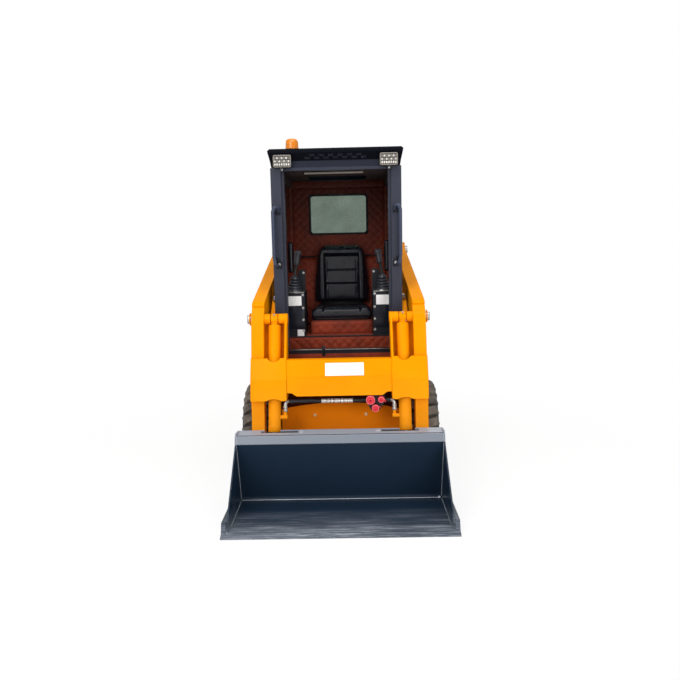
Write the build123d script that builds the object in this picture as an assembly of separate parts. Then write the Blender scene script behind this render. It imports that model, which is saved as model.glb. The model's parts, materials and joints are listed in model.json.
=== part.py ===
from build123d import *
import math
import os

# Skid steer loader, parked with its arms down and its bucket flat on the ground.
# Millimetres. X runs across the machine, -Y is forwards, Z is up.
# The origin is on the ground, at the middle of the overall length and width.
# Outlines seen from the side are lists of (Y, Z) points, those seen from the front (X, Z).

os.makedirs("parts", exist_ok=True)

# ---- overall layout -------------------------------------------------------------
LENGTH = 2440.0                      # cutting edge tip to rear bumper
NOSE_Y = -LENGTH / 2
TAIL_Y = LENGTH / 2
FIT_GAP = 0.3                        # between round faces of two different bodies
FLAT_GAP = 5.0                       # between flat faces that move past each other
PLATE = 10.0                         # welded structure
SHEET = 8.0                          # body panels
TRIM_T = 6.0                         # thin covers and glass

# ---- wheels ---------------------------------------------------------------------
TYRE_R = 300.0
TYRE_W = 216.0
LUG_D = 22.0                         # lug height
LUG_T = 30.0                         # lug thickness along the tread
LUG_COUNT = 18                       # on each side of the tread
LUG_SLANT = 16.0
RIM_R = 152.0
RIM_FLANGE_R = 164.0
RIM_LIP = 6.0
RIM_WALL = 7.0
BEAD_X = 92.0
WHEEL_X = 510.0
FRONT_AXLE_Y = -180.0
REAR_AXLE_Y = 580.0
HUB_FACE_X = 436.0                   # outer end of the axle tubes
AXLE_TUBE_R = 62.0

# ---- chassis --------------------------------------------------------------------
CHASSIS_X = 370.0
CHAINCASE_W = 70.0
BELLY_Z = 160.0
CHASSIS_TOP = 640.0
CHASSIS_FRONT = -372.0
NOSE_CUT = (82.0, 90.0)              # lower front corner cut off the chaincases
TAIL_CUT = (25.0, 75.0)
BUMPER_D = 85.0
BUMPER_Z = (240.0, 340.0)
CHASSIS_REAR = TAIL_Y - BUMPER_D
CROSS_WALL_Y = 300.0
HITCH_PLATE_X = 60.0
TOW_BORE_R = 13.0
TOW_BORE_Y = TAIL_Y - 32.0
TOW_Z = (225.0, 240.0)

# ---- engine bay and towers ------------------------------------------------------
BODY_X = 408.0
BAY_FRONT = 700.0
BAY_MARGIN = 30.0
RADIATOR_T = 70.0
ENGINE_W = 440.0
RADIATOR_W = 580.0
ENGINE_TOP_DROP = 250.0
HOOD_FRONT_Z = 1270.0
HOOD_REAR_Z = 1150.0
VENT_X = 190.0                       # centre of each group of hood vents
VENT_W = 200.0
VENT_SLOT = 14.0
VENT_PITCH = 34.0
EXHAUST_AT = (190.0, 800.0)          # (X, Y)
EXHAUST_R = 24.0
EXHAUST_TOP = 1400.0
TOWER_IN_X = BODY_X
TOWER_T = 12.0
TOWER_OUT_X = 508.0
TOWER_FOOT_Z = 600.0
TOWER_Y = (840.0, 985.0)
TOWER_HEAD_R = 58.0
TIE_TUBE_AT = (940.0, 1340.0)
TIE_TUBE_R = 36.0
HINGE_OUT = 16.0
HINGE = (-BODY_X - HINGE_OUT, CHASSIS_REAR + HINGE_OUT)   # (X, Y) of the door's pins
HINGE_Z = (690.0, 940.0)
HINGE_H = 40.0
HINGE_R = 13.0
HINGE_PIN_R = 7.0
HINGE_LEAF = 8.0
DOOR_T = 22.0
DOOR_LOW = 350.0
GRILLE_X = 280.0
GRILLE_Z = (540.0, 1040.0)
SLAT_PITCH = 50.0
TAIL_LAMP = (70.0, 90.0, 22.0)       # length, height, depth

# ---- cab ------------------------------------------------------------------------
CAB_X = 407.0
CAB_WALL = 12.0
POST_W = 82.0
POST_GROOVE = 18.0                   # recessed strip along the post's inner side
POST_FRONT = -225.0
POST_DEPTH = 70.0
CAB_REAR = 665.0
SILL_FRONT = -320.0
SILL_Z = 838.0
SILL_SHELF = 36.0
EAVES_Z = 1968.0
ROOF_Z = 2080.0
ROOF_X = 419.0
ROOF_FLARE = 19.0
ROOF_EDGE = 12.0
ROOF_SKIN = 10.0
VISOR_FRONT = -254.0
VISOR_Z = (2008.0, 2054.0)           # foot and top of the visor's slope
HEADER_FRONT = -215.0
HEADER_Z = 1950.0
HEADER_T = 40.0
ROOF_REAR = 700.0
SLOT_SIZE = (25.0, 7.0, 5.0)         # visor slots: length, height, depth
SLOT_PITCH = 58.0
REAR_PANE_W = 426.0
REAR_PANE_Z = (1575.0, 1858.0)
REAR_PANE_CORNER = 26.0
SKYLIGHT_W = 400.0
SKYLIGHT_Y = (290.0, 610.0)
SIDE_OPEN_REAR = 190.0
SIDE_OPEN_Z = (1060.0, 1900.0)
SCREEN_HOLE = 0.72                   # share of each mesh of the screens that is open
LINING_T = 12.0
LINING_LEDGE_Z = 1400.0
STEP_FRONT = -95.0
STEP_Z = 890.0
SEAT_X = 16.0                        # the seat stands a little to one side
SEAT_HALF_W = 207.0
SEAT_BOX_Y = (20.0, 540.0)
SEAT_BOX_Z = 975.0
CUSHION_Y = (70.0, 470.0)
CUSHION_T = 85.0
BACK_HALF_W = 182.0
BACK_TOP_Z = 1490.0
CONSOLE_X = (226.0, 344.0)
CONSOLE_Y = (-90.0, 200.0)
CONSOLE_Z = 1180.0
CONSOLE_BACK_Y = 60.0
CONSOLE_BACK_Z = 1326.0
LEVER_AT = (290.0, 0.0)
LEVER_TIP = (263.0, -40.0, 1455.0)
BOOT_R = (42.0, 22.0)
BOOT_H = 95.0
HANDLE_X = 384.0
HANDLE_OUT = 48.0
HANDLE_Z = (1378.0, 1722.0)
HANDLE_R = 10.0
WORK_LAMP_X = (275.0, 382.0)
WORK_LAMP_Z = (1968.0, 2040.0)
BEACON_AT = (-275.0, -110.0)         # (X, Y)
BEACON_R = 38.0
BEACON_TOP = 2160.0

# ---- lift arms ------------------------------------------------------------------
ARM_PIVOT = (920.0, 1440.0)
KNEE = (-365.0, 1085.0)
FOOT = (-590.0, 170.0)               # bucket pin
ARM_X = (455.0, 531.0)
ARM_TAPER = 1.1                      # degrees that the upper arms close in towards the rear
LEG_D = 90.0
LEG_SWELL = 20.0
BEAM_D = 120.0
PIVOT_BOSS_R = 54.0
FOOT_BOSS_R = 45.0
LIFT_BASE = (936.0, 785.0)
LIFT_EYE = (360.0, 1130.0)
LIFT_X = 464.0
LIFT_LUG_T = 8.0
LIFT_LUG_R = 34.0
TILT_HEAD = (-395.0, 1045.0)
TILT_HEAD_R = 32.0
TILT_CRANK_R = 100.0
TILT_CRANK_ANGLE = 118.0
TILT_X = 392.0
INNER_PLATE_X = (315.0, 328.0)
PLATE_REAR = [(-470.0, 577.0), (-352.0, 1012.0)]      # rear edge of the inner plate, upwards
BACK_PLATE = (215.0, 448.0)          # lower and upper end of the plate behind the cylinder
GUSSET = [(60.0, 1150.0), (-376.0, 850.0)]            # free edge of the knee's gusset
GUSSET_T = 12.0
COVER_OUT_X = 528.0
COVER_T = 10.0
COVER_NOTCH_R = 46.0
COVER_FACE = [(-607.0, 577.0), (-584.0, 700.0), (-530.0, 822.0)]    # front face, upwards
BEAM_FACE = [(-592.0, 600.0), (-574.0, 700.0), (-534.0, 810.0)]
BEAM_DEPTH = 55.0
BEAM_END_CUT = (60.0, 20.0)          # length and height of the cut at each lower end
LABEL_X = (-83.0, 148.0)
LABEL_T = 1.5
PIN_HEAD = 23.0

# ---- cylinders ------------------------------------------------------------------
LIFT_BARREL_R = 34.0
TILT_BARREL_R = 37.0
ROD_R = 18.0
EYE_R = 28.0
BARREL_EYE_R = 32.0
EYE_W = 40.0
NECK_R = 22.0
NECK_L = 42.0
BORE_START = 60.0
PIN_R = 16.0
LIFT_GLAND_GAP = 61.0                # gland to rod eye, arms down
TILT_BARREL_L = 690.0
PORT_R = 13.0
PORT_BACK = 88.0                     # port to the barrel's gland end

# ---- hoses between the tilt cylinders -------------------------------------------
HOSE_R = 8.5
UNION_R = 10.0
UNION_X = (-107.0, 75.0)
UNION_AT = (-530.0, 556.0)
HOSE_ROUTE = [                       # (X, Y, Z) from the union to the right-hand elbow
    (75.0, -530.0, 556.0), (125.0, -530.0, 556.0), (180.0, -533.0, 561.0),
    (240.0, -550.0, 562.0), (290.0, -550.0, 562.0),
]
ELBOW_R = 10.0
ELBOW_BEND = 22.0
ELBOW_REACH = 38.0                   # from the hose's end to the elbow's corner
HOSE_SHIFT = UNION_X[0] + UNION_X[1]
COUPLER_R = 13.0
CAP_R = 19.0
COUPLERS = [(184.0, 571.0), (248.0, 571.0), (213.0, 521.0)]   # (X, Z)
COUPLER_Y = (-584.0, -566.0)
CAP_T = 20.0
BRACKET_T = 6.0

# ---- bucket ---------------------------------------------------------------------
BUCKET_X = 596.0
EDGE_X = 620.0
SKIN = 8.0
FOLD_Y = -710.0
FOLD_R = 22.0
BACK_TOP = (-812.0, 376.0)
LIP_LOW = (-818.0, 380.0)
LIP_TOP = (-794.0, 421.0)
LIP_Z = 427.0
HITCH_Y = -695.0
HITCH_LOW = 60.0
LIP_SLOT_X = (240.0, 455.0)
LIP_SLOT_Y = (-745.0, -703.0)
BARREL_NOTCH = (46.0, 50.0, 340.0)   # half width, depth, lower end
ROD_NOTCH = (30.0, 28.0, 190.0)
EDGE_L = 118.0
EDGE_T = 16.0
RUNNER_H = 70.0
EAR_PLATES = ((351.0, 364.0), (420.0, 436.0), (545.0, 558.0))


# ---- helpers --------------------------------------------------------------------
def box(x0, x1, y0, y1, z0, z1):
    """Straight block between two corners."""
    centre = Pos((x0 + x1) / 2, (y0 + y1) / 2, (z0 + z1) / 2)
    return centre * Box(x1 - x0, y1 - y0, z1 - z0)


def outline_face(points, radii=None):
    """Flat face round the points, with a corner radius for each point where given."""
    if radii is None:
        return make_face(Polyline(*points, close=True))
    return make_face(FilletPolyline(*points, radius=radii, close=True))


def side_plate(points, x0, x1, radii=None):
    """Outline given as (Y, Z) points, as thick as x0 to x1."""
    return Pos(x0, 0, 0) * extrude(Plane.YZ * outline_face(points, radii), x1 - x0)


def front_plate(points, y0, y1, radii=None):
    """Outline given as (X, Z) points, as thick as y0 to y1."""
    return Pos(0, y1, 0) * extrude(Plane.XZ * outline_face(points, radii), y1 - y0)


def bar_x(radius, x0, x1, at):
    """Round bar across the machine, centred on the (Y, Z) point."""
    return Pos((x0 + x1) / 2, at[0], at[1]) * Rot(0, 90, 0) * Cylinder(radius, x1 - x0)


def bar_z(radius, x, y, z0, z1):
    """Round upright bar."""
    return Pos(x, y, (z0 + z1) / 2) * Cylinder(radius, z1 - z0)


def bar_y(radius, x, z, y0, y1):
    """Round bar along the machine."""
    return Pos(x, (y0 + y1) / 2, z) * Rot(90, 0, 0) * Cylinder(radius, y1 - y0)


def mirrored(shape):
    """The same shape on the other side of the machine."""
    return mirror(shape, Plane.YZ)


def pair(shape):
    """The shape and its mirror image."""
    return shape + mirrored(shape)


def along(start, end, distance, offset=0.0):
    """Point at a distance from start towards end, moved square to that line."""
    run = math.dist(start, end)
    u = ((end[0] - start[0]) / run, (end[1] - start[1]) / run)
    return (start[0] + u[0] * distance - u[1] * offset,
            start[1] + u[1] * distance + u[0] * offset)


def backed(face, thickness):
    """Closed outline of a bent plate: its face line and the same line moved back."""
    return face + [(y + thickness, z) for y, z in reversed(face)]


def joined(shapes):
    """All shapes of a list as one."""
    first, *rest = shapes
    return first.fuse(*rest) if rest else first


def save(name, shape):
    """Write one node."""
    shape.label = name
    export_step(shape, f"parts/{name}.step")


def on_line(start, end, x, shape):
    """Stand a shape that is drawn along +Z from the origin on a line from start to end."""
    tilt = math.degrees(math.atan2(end[0] - start[0], end[1] - start[1]))
    return Pos(x, start[0], start[1]) * Rot(-tilt, 0, 0) * shape


# ---- wheels ---------------------------------------------------------------------
def drum(radius, x0, x1, end_radius=None):
    """Many-sided drum about the X axis, tapering to end_radius where given."""
    near = Pos(x0, 0, 0) * Rot(0, 90, 0) * RegularPolygon(radius, LUG_COUNT)
    far = Pos(x1, 0, 0) * Rot(0, 90, 0) * RegularPolygon(end_radius or radius, LUG_COUNT)
    return loft([near.faces()[0], far.faces()[0]], ruled=True)


def tyre():
    """Tyre about the X axis: a drum with sloping shoulders and two rows of slanted lugs."""
    half = TYRE_W / 2
    tread = TYRE_R - LUG_D
    crown_x = half - 24.0
    wall_r = tread - 50.0
    corner = 1.0 / math.cos(math.pi / LUG_COUNT)
    bead_r = (RIM_FLANGE_R + 2.0) * corner
    body = drum(tread, -crown_x, crown_x)
    for side in (-1, 1):
        body += drum(tread, side * crown_x, side * half, wall_r)
        body -= drum(bead_r, side * BEAD_X, side * half, wall_r - 1.0)
    body -= drum(RIM_R * corner, -half, half)
    slant = math.radians(LUG_SLANT)
    reach = (half - 30.0) * math.sin(slant) + LUG_T / 2 * math.cos(slant)
    top = math.sqrt(TYRE_R**2 - reach**2)
    lug = [(8.0, tread - 12.0), (8.0, top), (half - 30.0, top), (half, top - 56.0)]
    block = Rot(0, 0, LUG_SLANT) * front_plate(lug, -LUG_T / 2, LUG_T / 2)
    step = 360.0 / LUG_COUNT
    row = [Rot(i * step, 0, 0) * block for i in range(LUG_COUNT)]
    other = [Rot((i + 0.5) * step, 0, 0) * mirrored(block) for i in range(LUG_COUNT)]
    return joined([body, *row, *other])


def rim():
    """Steel disc wheel whose outer side is +X."""
    edge = BEAD_X + RIM_LIP
    inner = RIM_R - 1.0 - RIM_WALL
    hub_end = HUB_FACE_X + FIT_GAP - WHEEL_X
    barrel = [
        (-edge, RIM_FLANGE_R), (-BEAD_X, RIM_FLANGE_R), (-BEAD_X, RIM_R - 1.0),
        (BEAD_X, RIM_R - 1.0), (BEAD_X, RIM_FLANGE_R), (edge, RIM_FLANGE_R),
        (edge, inner), (-edge, inner),
    ]
    disc = [
        (hub_end, 0.0), (12.0, 0.0), (12.0, 58.0), (26.0, 74.0), (26.0, inner + 1.0),
        (16.0, inner + 1.0), (16.0, 78.0), (2.0, AXLE_TUBE_R), (hub_end, AXLE_TUBE_R),
    ]
    return revolve(outline_face(barrel), Axis.X, 360) + revolve(outline_face(disc), Axis.X, 360)


def wheels():
    """Four tyres and four rims. The rim's hub stops short of its axle tube."""
    rubber = tyre()
    steel = rim()
    places = {
        "front_left": (-1, FRONT_AXLE_Y), "front_right": (1, FRONT_AXLE_Y),
        "rear_left": (-1, REAR_AXLE_Y), "rear_right": (1, REAR_AXLE_Y),
    }
    for name, (side, y) in places.items():
        place = Pos(side * WHEEL_X, y, TYRE_R) * Rot(0, 0, 0 if side > 0 else 180)
        save(f"tyre_{name}", place * rubber)
        save(f"rim_{name}", place * steel)


def axle_tubes():
    """Short tubes that carry the hubs."""
    tubes = []
    for y in (FRONT_AXLE_Y, REAR_AXLE_Y):
        tubes.append(pair(bar_x(AXLE_TUBE_R, CHASSIS_X, HUB_FACE_X, (y, TYRE_R))))
    save("axle_tubes", tubes[0] + tubes[1])


# ---- chassis --------------------------------------------------------------------
def chassis_frame():
    """Two chaincases joined by a belly plate and cross walls."""
    nose_y = CHASSIS_FRONT + NOSE_CUT[0]
    tail_y = CHASSIS_REAR - TAIL_CUT[0]
    outline = [
        (CHASSIS_FRONT, BELLY_Z + NOSE_CUT[1]), (nose_y, BELLY_Z), (tail_y, BELLY_Z),
        (CHASSIS_REAR, BELLY_Z + TAIL_CUT[1]), (CHASSIS_REAR, CHASSIS_TOP),
        (CHASSIS_FRONT, CHASSIS_TOP),
    ]
    inner = CHASSIS_X - CHAINCASE_W
    frame = pair(side_plate(outline, inner, CHASSIS_X))
    frame += box(-inner, inner, nose_y, tail_y, BELLY_Z, BELLY_Z + PLATE)
    for y in (CROSS_WALL_Y, BAY_FRONT - PLATE):
        frame += box(-inner, inner, y, y + PLATE, BELLY_Z, CHASSIS_TOP)
    save("chassis_frame", frame)


def front_panel():
    """Bolted sheet that closes the chassis in front, its foot folded back."""
    nose_y = CHASSIS_FRONT + NOSE_CUT[0]
    nose_z = BELLY_Z + NOSE_CUT[1]
    t = TRIM_T
    outline = [
        (CHASSIS_FRONT - t, CHASSIS_TOP), (CHASSIS_FRONT - t, nose_z - 2.0),
        (nose_y - 4.0, BELLY_Z - t), (nose_y + SHEET, BELLY_Z - t), (nose_y + SHEET, BELLY_Z),
        (nose_y, BELLY_Z), (CHASSIS_FRONT, nose_z), (CHASSIS_FRONT, CHASSIS_TOP),
    ]
    save("front_panel", side_plate(outline, -CHASSIS_X, CHASSIS_X))


def body_sides():
    """Side sheets of the engine bay with a floor ledge, rear flanges and hinge halves."""
    in_x = BODY_X - SHEET
    ledge_z = CHASSIS_TOP + SHEET
    outline = [
        (BAY_FRONT, CHASSIS_TOP), (CHASSIS_REAR, CHASSIS_TOP),
        (CHASSIS_REAR, HOOD_REAR_Z - SHEET), (BAY_FRONT, HOOD_FRONT_Z - SHEET),
    ]
    side = side_plate(outline, in_x, BODY_X)
    side += box(CHASSIS_X - CHAINCASE_W, in_x, BAY_FRONT, CHASSIS_REAR, CHASSIS_TOP, ledge_z)
    side += box(in_x - 50.0, in_x, CHASSIS_REAR - SHEET, CHASSIS_REAR, ledge_z, HOOD_REAR_Z - SHEET)
    sides = pair(side)
    leaf = HINGE_LEAF
    for z in HINGE_Z:
        top = z + HINGE_H
        sides += box(HINGE[0] - leaf, -BODY_X, CHASSIS_REAR - 45.0, CHASSIS_REAR, z, top)
        sides += box(HINGE[0] - leaf, HINGE[0] + leaf, CHASSIS_REAR, HINGE[1], z, top)
        sides += bar_z(HINGE_R, HINGE[0], HINGE[1], z, top)
        sides += bar_z(HINGE_PIN_R, HINGE[0], HINGE[1], z, top + HINGE_H + 2.0)
    save("body_sides", sides)


def hood():
    """Sloping lid of the engine bay with two groups of vents and the exhaust's hole."""
    top = [
        (BAY_FRONT, HOOD_FRONT_Z - SHEET), (CHASSIS_REAR, HOOD_REAR_Z - SHEET),
        (CHASSIS_REAR, HOOD_REAR_Z), (BAY_FRONT, HOOD_FRONT_Z),
    ]
    lid = side_plate(top, -BODY_X, BODY_X)
    x, y = EXHAUST_AT
    lid -= bar_z(EXHAUST_R + FLAT_GAP, x, y, HOOD_REAR_Z, HOOD_FRONT_Z)
    first = TOWER_Y[1] + VENT_SLOT
    for i in range(int((CHASSIS_REAR - VENT_PITCH - first) / VENT_PITCH) + 1):
        slot_y = first + i * VENT_PITCH
        vent = box(VENT_X - VENT_W / 2, VENT_X + VENT_W / 2, slot_y, slot_y + VENT_SLOT,
                   HOOD_REAR_Z - SHEET, HOOD_FRONT_Z)
        lid -= pair(vent)
    save("hood", lid)
    save("exhaust_pipe", bar_z(EXHAUST_R, x, y, HOOD_REAR_Z - ENGINE_TOP_DROP, EXHAUST_TOP)
         - bar_z(EXHAUST_R - 3.0, x, y, EXHAUST_TOP - 120.0, EXHAUST_TOP))


def towers():
    """Forked uprights at the rear that carry the arms, tied by a cross tube."""
    front, rear = TOWER_Y
    y, z = ARM_PIVOT
    outline = [
        (front, TOWER_FOOT_Z), (rear, TOWER_FOOT_Z), (rear, z - 60.0), (y + TOWER_HEAD_R - 1.0, z),
        (y - TOWER_HEAD_R + 1.0, z),
    ]
    in_x = TOWER_IN_X + TOWER_T
    tower = web = box(in_x, TOWER_OUT_X, rear - PLATE, rear, TOWER_FOOT_Z, z - 110.0)
    tower += box(in_x, TOWER_OUT_X, front + PLATE, rear - PLATE, TOWER_FOOT_Z, TOWER_FOOT_Z + TOWER_T)
    for x in (TOWER_IN_X, TOWER_OUT_X):
        tower += side_plate(outline, x, x + TOWER_T)
        tower += bar_x(TOWER_HEAD_R, x, x + TOWER_T, ARM_PIVOT)
    for at in (ARM_PIVOT, LIFT_BASE):
        tower += bar_x(PIN_R, in_x, TOWER_OUT_X, at)
    tube = bar_x(TIE_TUBE_R, -TOWER_IN_X, TOWER_IN_X, TIE_TUBE_AT)
    save("towers", pair(tower) + tube)
    outer = TOWER_OUT_X + TOWER_T
    heads = [pin_head(TILT_HEAD_R, outer, ARM_PIVOT), pin_head(PIN_R + 8.0, outer, LIFT_BASE)]
    save("tower_pins", pair(heads[0]) + pair(heads[1]))


def pin_head(radius, x, at):
    """Outer end of a pin, hollow, standing on the face at x."""
    return bar_x(radius, x, x + PIN_HEAD, at) - bar_x(radius - 8.0, x + SHEET, x + PIN_HEAD, at)


def rear_door():
    """Hinged door of the engine bay and the slatted grille in its window."""
    y = CHASSIS_REAR + FLAT_GAP
    top = HOOD_REAR_Z - 4.0
    x = BODY_X - PLATE
    door = box(-BODY_X, BODY_X, y, y + DOOR_T, DOOR_LOW, top)
    door -= box(-x, x, y, y + DOOR_T - SHEET, DOOR_LOW + PLATE, top - PLATE)
    z0, z1 = GRILLE_Z
    door -= box(-GRILLE_X, GRILLE_X, y, y + DOOR_T, z0, z1)
    leaf = HINGE_LEAF
    for z in HINGE_Z:
        low = z + HINGE_H + 1.0
        door += box(HINGE[0], -BODY_X + 4.0, HINGE[1] - leaf, HINGE[1] + leaf, low, low + HINGE_H)
        door += bar_z(HINGE_R, HINGE[0], HINGE[1], low, low + HINGE_H)
        door -= bar_z(HINGE_PIN_R + FIT_GAP, HINGE[0], HINGE[1], low, low + HINGE_H)
    save("rear_door", door)
    out = y + DOOR_T
    rail = 14.0
    grille = box(-GRILLE_X, GRILLE_X, out - SHEET, out, z0, z1)
    grille -= box(-GRILLE_X + rail, GRILLE_X - rail, out - SHEET, out, z0 + rail, z1 - rail)
    slat = [(out - SHEET, 0.0), (out, -18.0), (out, -13.0), (out - SHEET, 5.0)]
    count = int((z1 - z0 - 2 * rail) / SLAT_PITCH)
    for i in range(count):
        z = z0 + rail + (i + 0.6) * (z1 - z0 - 2 * rail) / count
        blade = [(sy, z + sz) for sy, sz in slat]
        grille += side_plate(blade, -GRILLE_X + rail, GRILLE_X - rail)
    grille += box(-SHEET, SHEET, out - SHEET, out, z0 + rail, z1 - rail)
    save("rear_grille", grille)


def bumper():
    """Rear counterweight bar below the door, and the tow plate under it."""
    low, high = BUMPER_Z
    chamfer_y = TAIL_Y - 20.0
    outline = [
        (CHASSIS_REAR, low), (chamfer_y, low), (TAIL_Y, low + 20.0), (TAIL_Y, high - 20.0),
        (chamfer_y, high), (CHASSIS_REAR, high),
    ]
    save("bumper", side_plate(outline, -BODY_X, BODY_X))
    plate = box(-HITCH_PLATE_X, HITCH_PLATE_X, TAIL_Y - 70.0, TAIL_Y - 2.0, *TOW_Z)
    plate -= bar_z(TOW_BORE_R, 0.0, TOW_BORE_Y, TOW_Z[0], TOW_Z[1])
    save("tow_hitch", plate)


def engine():
    """Plain block of the engine and its radiator."""
    base = BELLY_Z + PLATE
    cooler_y = CHASSIS_REAR - BAY_MARGIN - RADIATOR_T
    cooler = box(-RADIATOR_W / 2, RADIATOR_W / 2, cooler_y, cooler_y + RADIATOR_T,
                 base, HOOD_REAR_Z - 110.0)
    save("radiator", cooler)
    block = box(-ENGINE_W / 2, ENGINE_W / 2, BAY_FRONT + BAY_MARGIN, cooler_y - BAY_MARGIN,
                base, HOOD_REAR_Z - ENGINE_TOP_DROP)
    save("engine_block", block)


# ---- cab ------------------------------------------------------------------------
def cab_frame():
    """Posts, rails and side walls, each wall open in front for its screen."""
    wall_in = CAB_X - CAB_WALL
    post_in = CAB_X - POST_W
    post_back = POST_FRONT + POST_DEPTH
    wall = [
        (SILL_FRONT, CHASSIS_TOP), (CAB_REAR, CHASSIS_TOP), (CAB_REAR, EAVES_Z),
        (POST_FRONT, EAVES_Z), (POST_FRONT, SILL_Z + 62.0), (SILL_FRONT, SILL_Z),
    ]
    side = side_plate(wall, wall_in, CAB_X)
    side -= side_plate(side_opening(), wall_in, CAB_X, [30.0] * 4)
    groove = post_in + POST_GROOVE
    side += box(groove, wall_in, POST_FRONT, post_back, SILL_Z, EAVES_Z)
    side += box(post_in, groove, POST_FRONT + 24.0, post_back, SILL_Z, EAVES_Z)
    rail_in = CAB_X - 60.0
    side += box(rail_in, wall_in, CAB_REAR - 60.0, CAB_REAR, CHASSIS_TOP, EAVES_Z)
    side += box(rail_in, wall_in, post_back, CAB_REAR - 60.0, EAVES_Z - 50.0, EAVES_Z)
    frame = pair(side)
    frame += box(-post_in, post_in, HEADER_FRONT, HEADER_FRONT + HEADER_T, HEADER_Z, EAVES_Z)
    frame += box(-rail_in, rail_in, CAB_REAR - 50.0, CAB_REAR, EAVES_Z - 50.0, EAVES_Z)
    save("cab_frame", frame)


def side_opening():
    """Corners of the opening in each side wall."""
    y0 = POST_FRONT + POST_DEPTH
    z0, z1 = SIDE_OPEN_Z
    return [(y0, z0), (SIDE_OPEN_REAR, z0), (SIDE_OPEN_REAR, z1), (y0, z1)]


def cab_floor():
    """Floor plate with a raised sill in front."""
    x = CAB_X - CAB_WALL
    floor = box(-x, x, SILL_FRONT, CAB_REAR - 60.0, CHASSIS_TOP, CHASSIS_TOP + PLATE)
    floor += box(-x, x, SILL_FRONT, SILL_FRONT + SHEET, CHASSIS_TOP + PLATE, SILL_Z)
    floor += box(-x, x, SILL_FRONT + SHEET, SILL_FRONT + SHEET + SILL_SHELF, SILL_Z - SHEET, SILL_Z)
    save("cab_floor", floor)


def cab_roof():
    """Pressed roof: flared sides, a slotted visor that slopes back to the header, a skylight."""
    foot, brow = VISOR_Z
    profile = [
        (HEADER_FRONT, EAVES_Z), (ROOF_REAR, EAVES_Z), (ROOF_REAR, ROOF_Z - ROOF_EDGE),
        (ROOF_REAR - ROOF_EDGE, ROOF_Z), (VISOR_FRONT + ROOF_EDGE, ROOF_Z),
        (VISOR_FRONT, ROOF_Z - ROOF_EDGE), (VISOR_FRONT, brow), (HEADER_FRONT, foot),
    ]
    low_x = ROOF_X - ROOF_FLARE
    brow_z = ROOF_Z - ROOF_EDGE
    section = [
        (-low_x, EAVES_Z), (low_x, EAVES_Z), (ROOF_X, brow_z), (ROOF_X - ROOF_EDGE, ROOF_Z),
        (-ROOF_X + ROOF_EDGE, ROOF_Z), (-ROOF_X, brow_z),
    ]
    roof = side_plate(profile, -ROOF_X, ROOF_X) & front_plate(section, VISOR_FRONT, ROOF_REAR)
    inner = low_x - 14.0
    roof -= box(-inner, inner, HEADER_FRONT + HEADER_T, ROOF_REAR - 14.0, EAVES_Z, ROOF_Z - ROOF_SKIN)
    half = SKYLIGHT_W / 2
    roof -= box(-half, half, SKYLIGHT_Y[0], SKYLIGHT_Y[1], EAVES_Z, ROOF_Z)
    rows = ((7, 0.36), (6, 0.66))        # slots in the row, place up the visor's slope
    length, height, depth = SLOT_SIZE
    slope = math.degrees(math.atan2(HEADER_FRONT - VISOR_FRONT, brow - foot))
    for count, share in rows:
        y = HEADER_FRONT + share * (VISOR_FRONT - HEADER_FRONT)
        z = foot + share * (brow - foot)
        for i in range(count):
            x = (i - (count - 1) / 2) * SLOT_PITCH
            roof -= Pos(x, y, z) * Rot(slope, 0, 0) * Box(length, 2 * depth, height)
    save("cab_roof", roof)


def rear_wall():
    """Sheet between the rear posts, with the rear window's hole."""
    x = CAB_X - 60.0
    wall = box(-x, x, CAB_REAR - PLATE, CAB_REAR, CHASSIS_TOP, EAVES_Z - 50.0)
    wall -= rear_pane(0.0, CAB_REAR - PLATE, CAB_REAR)
    save("rear_wall", wall)


def rear_pane(grow, y0, y1):
    """Round-cornered shape of the rear window, larger all round by grow."""
    half = REAR_PANE_W / 2 + grow
    low = REAR_PANE_Z[0] - grow
    high = REAR_PANE_Z[1] + grow
    corners = [(-half, low), (half, low), (half, high), (-half, high)]
    return front_plate(corners, y0, y1, [REAR_PANE_CORNER + grow] * 4)


def windows():
    """Skylight and rear pane, each flush in its hole."""
    half = SKYLIGHT_W / 2
    low = ROOF_Z - ROOF_SKIN
    sky = box(-half, half, SKYLIGHT_Y[0], SKYLIGHT_Y[1], low, low + TRIM_T)
    pane_y = CAB_REAR - SHEET
    save("cab_windows", sky + rear_pane(0.0, pane_y, pane_y + TRIM_T))


def side_screens():
    """Guard screens in the side openings."""
    face = outline_face(side_opening(), [30.0] * 4)
    x = CAB_X - CAB_WALL / 2
    screen = Pos(x - 2.0, 0, 0) * extrude(Plane.YZ * face, 4.0)
    y0 = POST_FRONT + POST_DEPTH
    z0, z1 = SIDE_OPEN_Z
    columns, rows = 4, 9
    pitch_y = (SIDE_OPEN_REAR - y0) / columns
    pitch_z = (z1 - z0) / rows
    mesh = Box(PLATE, SCREEN_HOLE * pitch_y, SCREEN_HOLE * pitch_z)
    for i in range(columns):
        for j in range(rows):
            screen -= Pos(x, y0 + (i + 0.5) * pitch_y, z0 + (j + 0.5) * pitch_z) * mesh
    save("side_screens", pair(screen))


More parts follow.
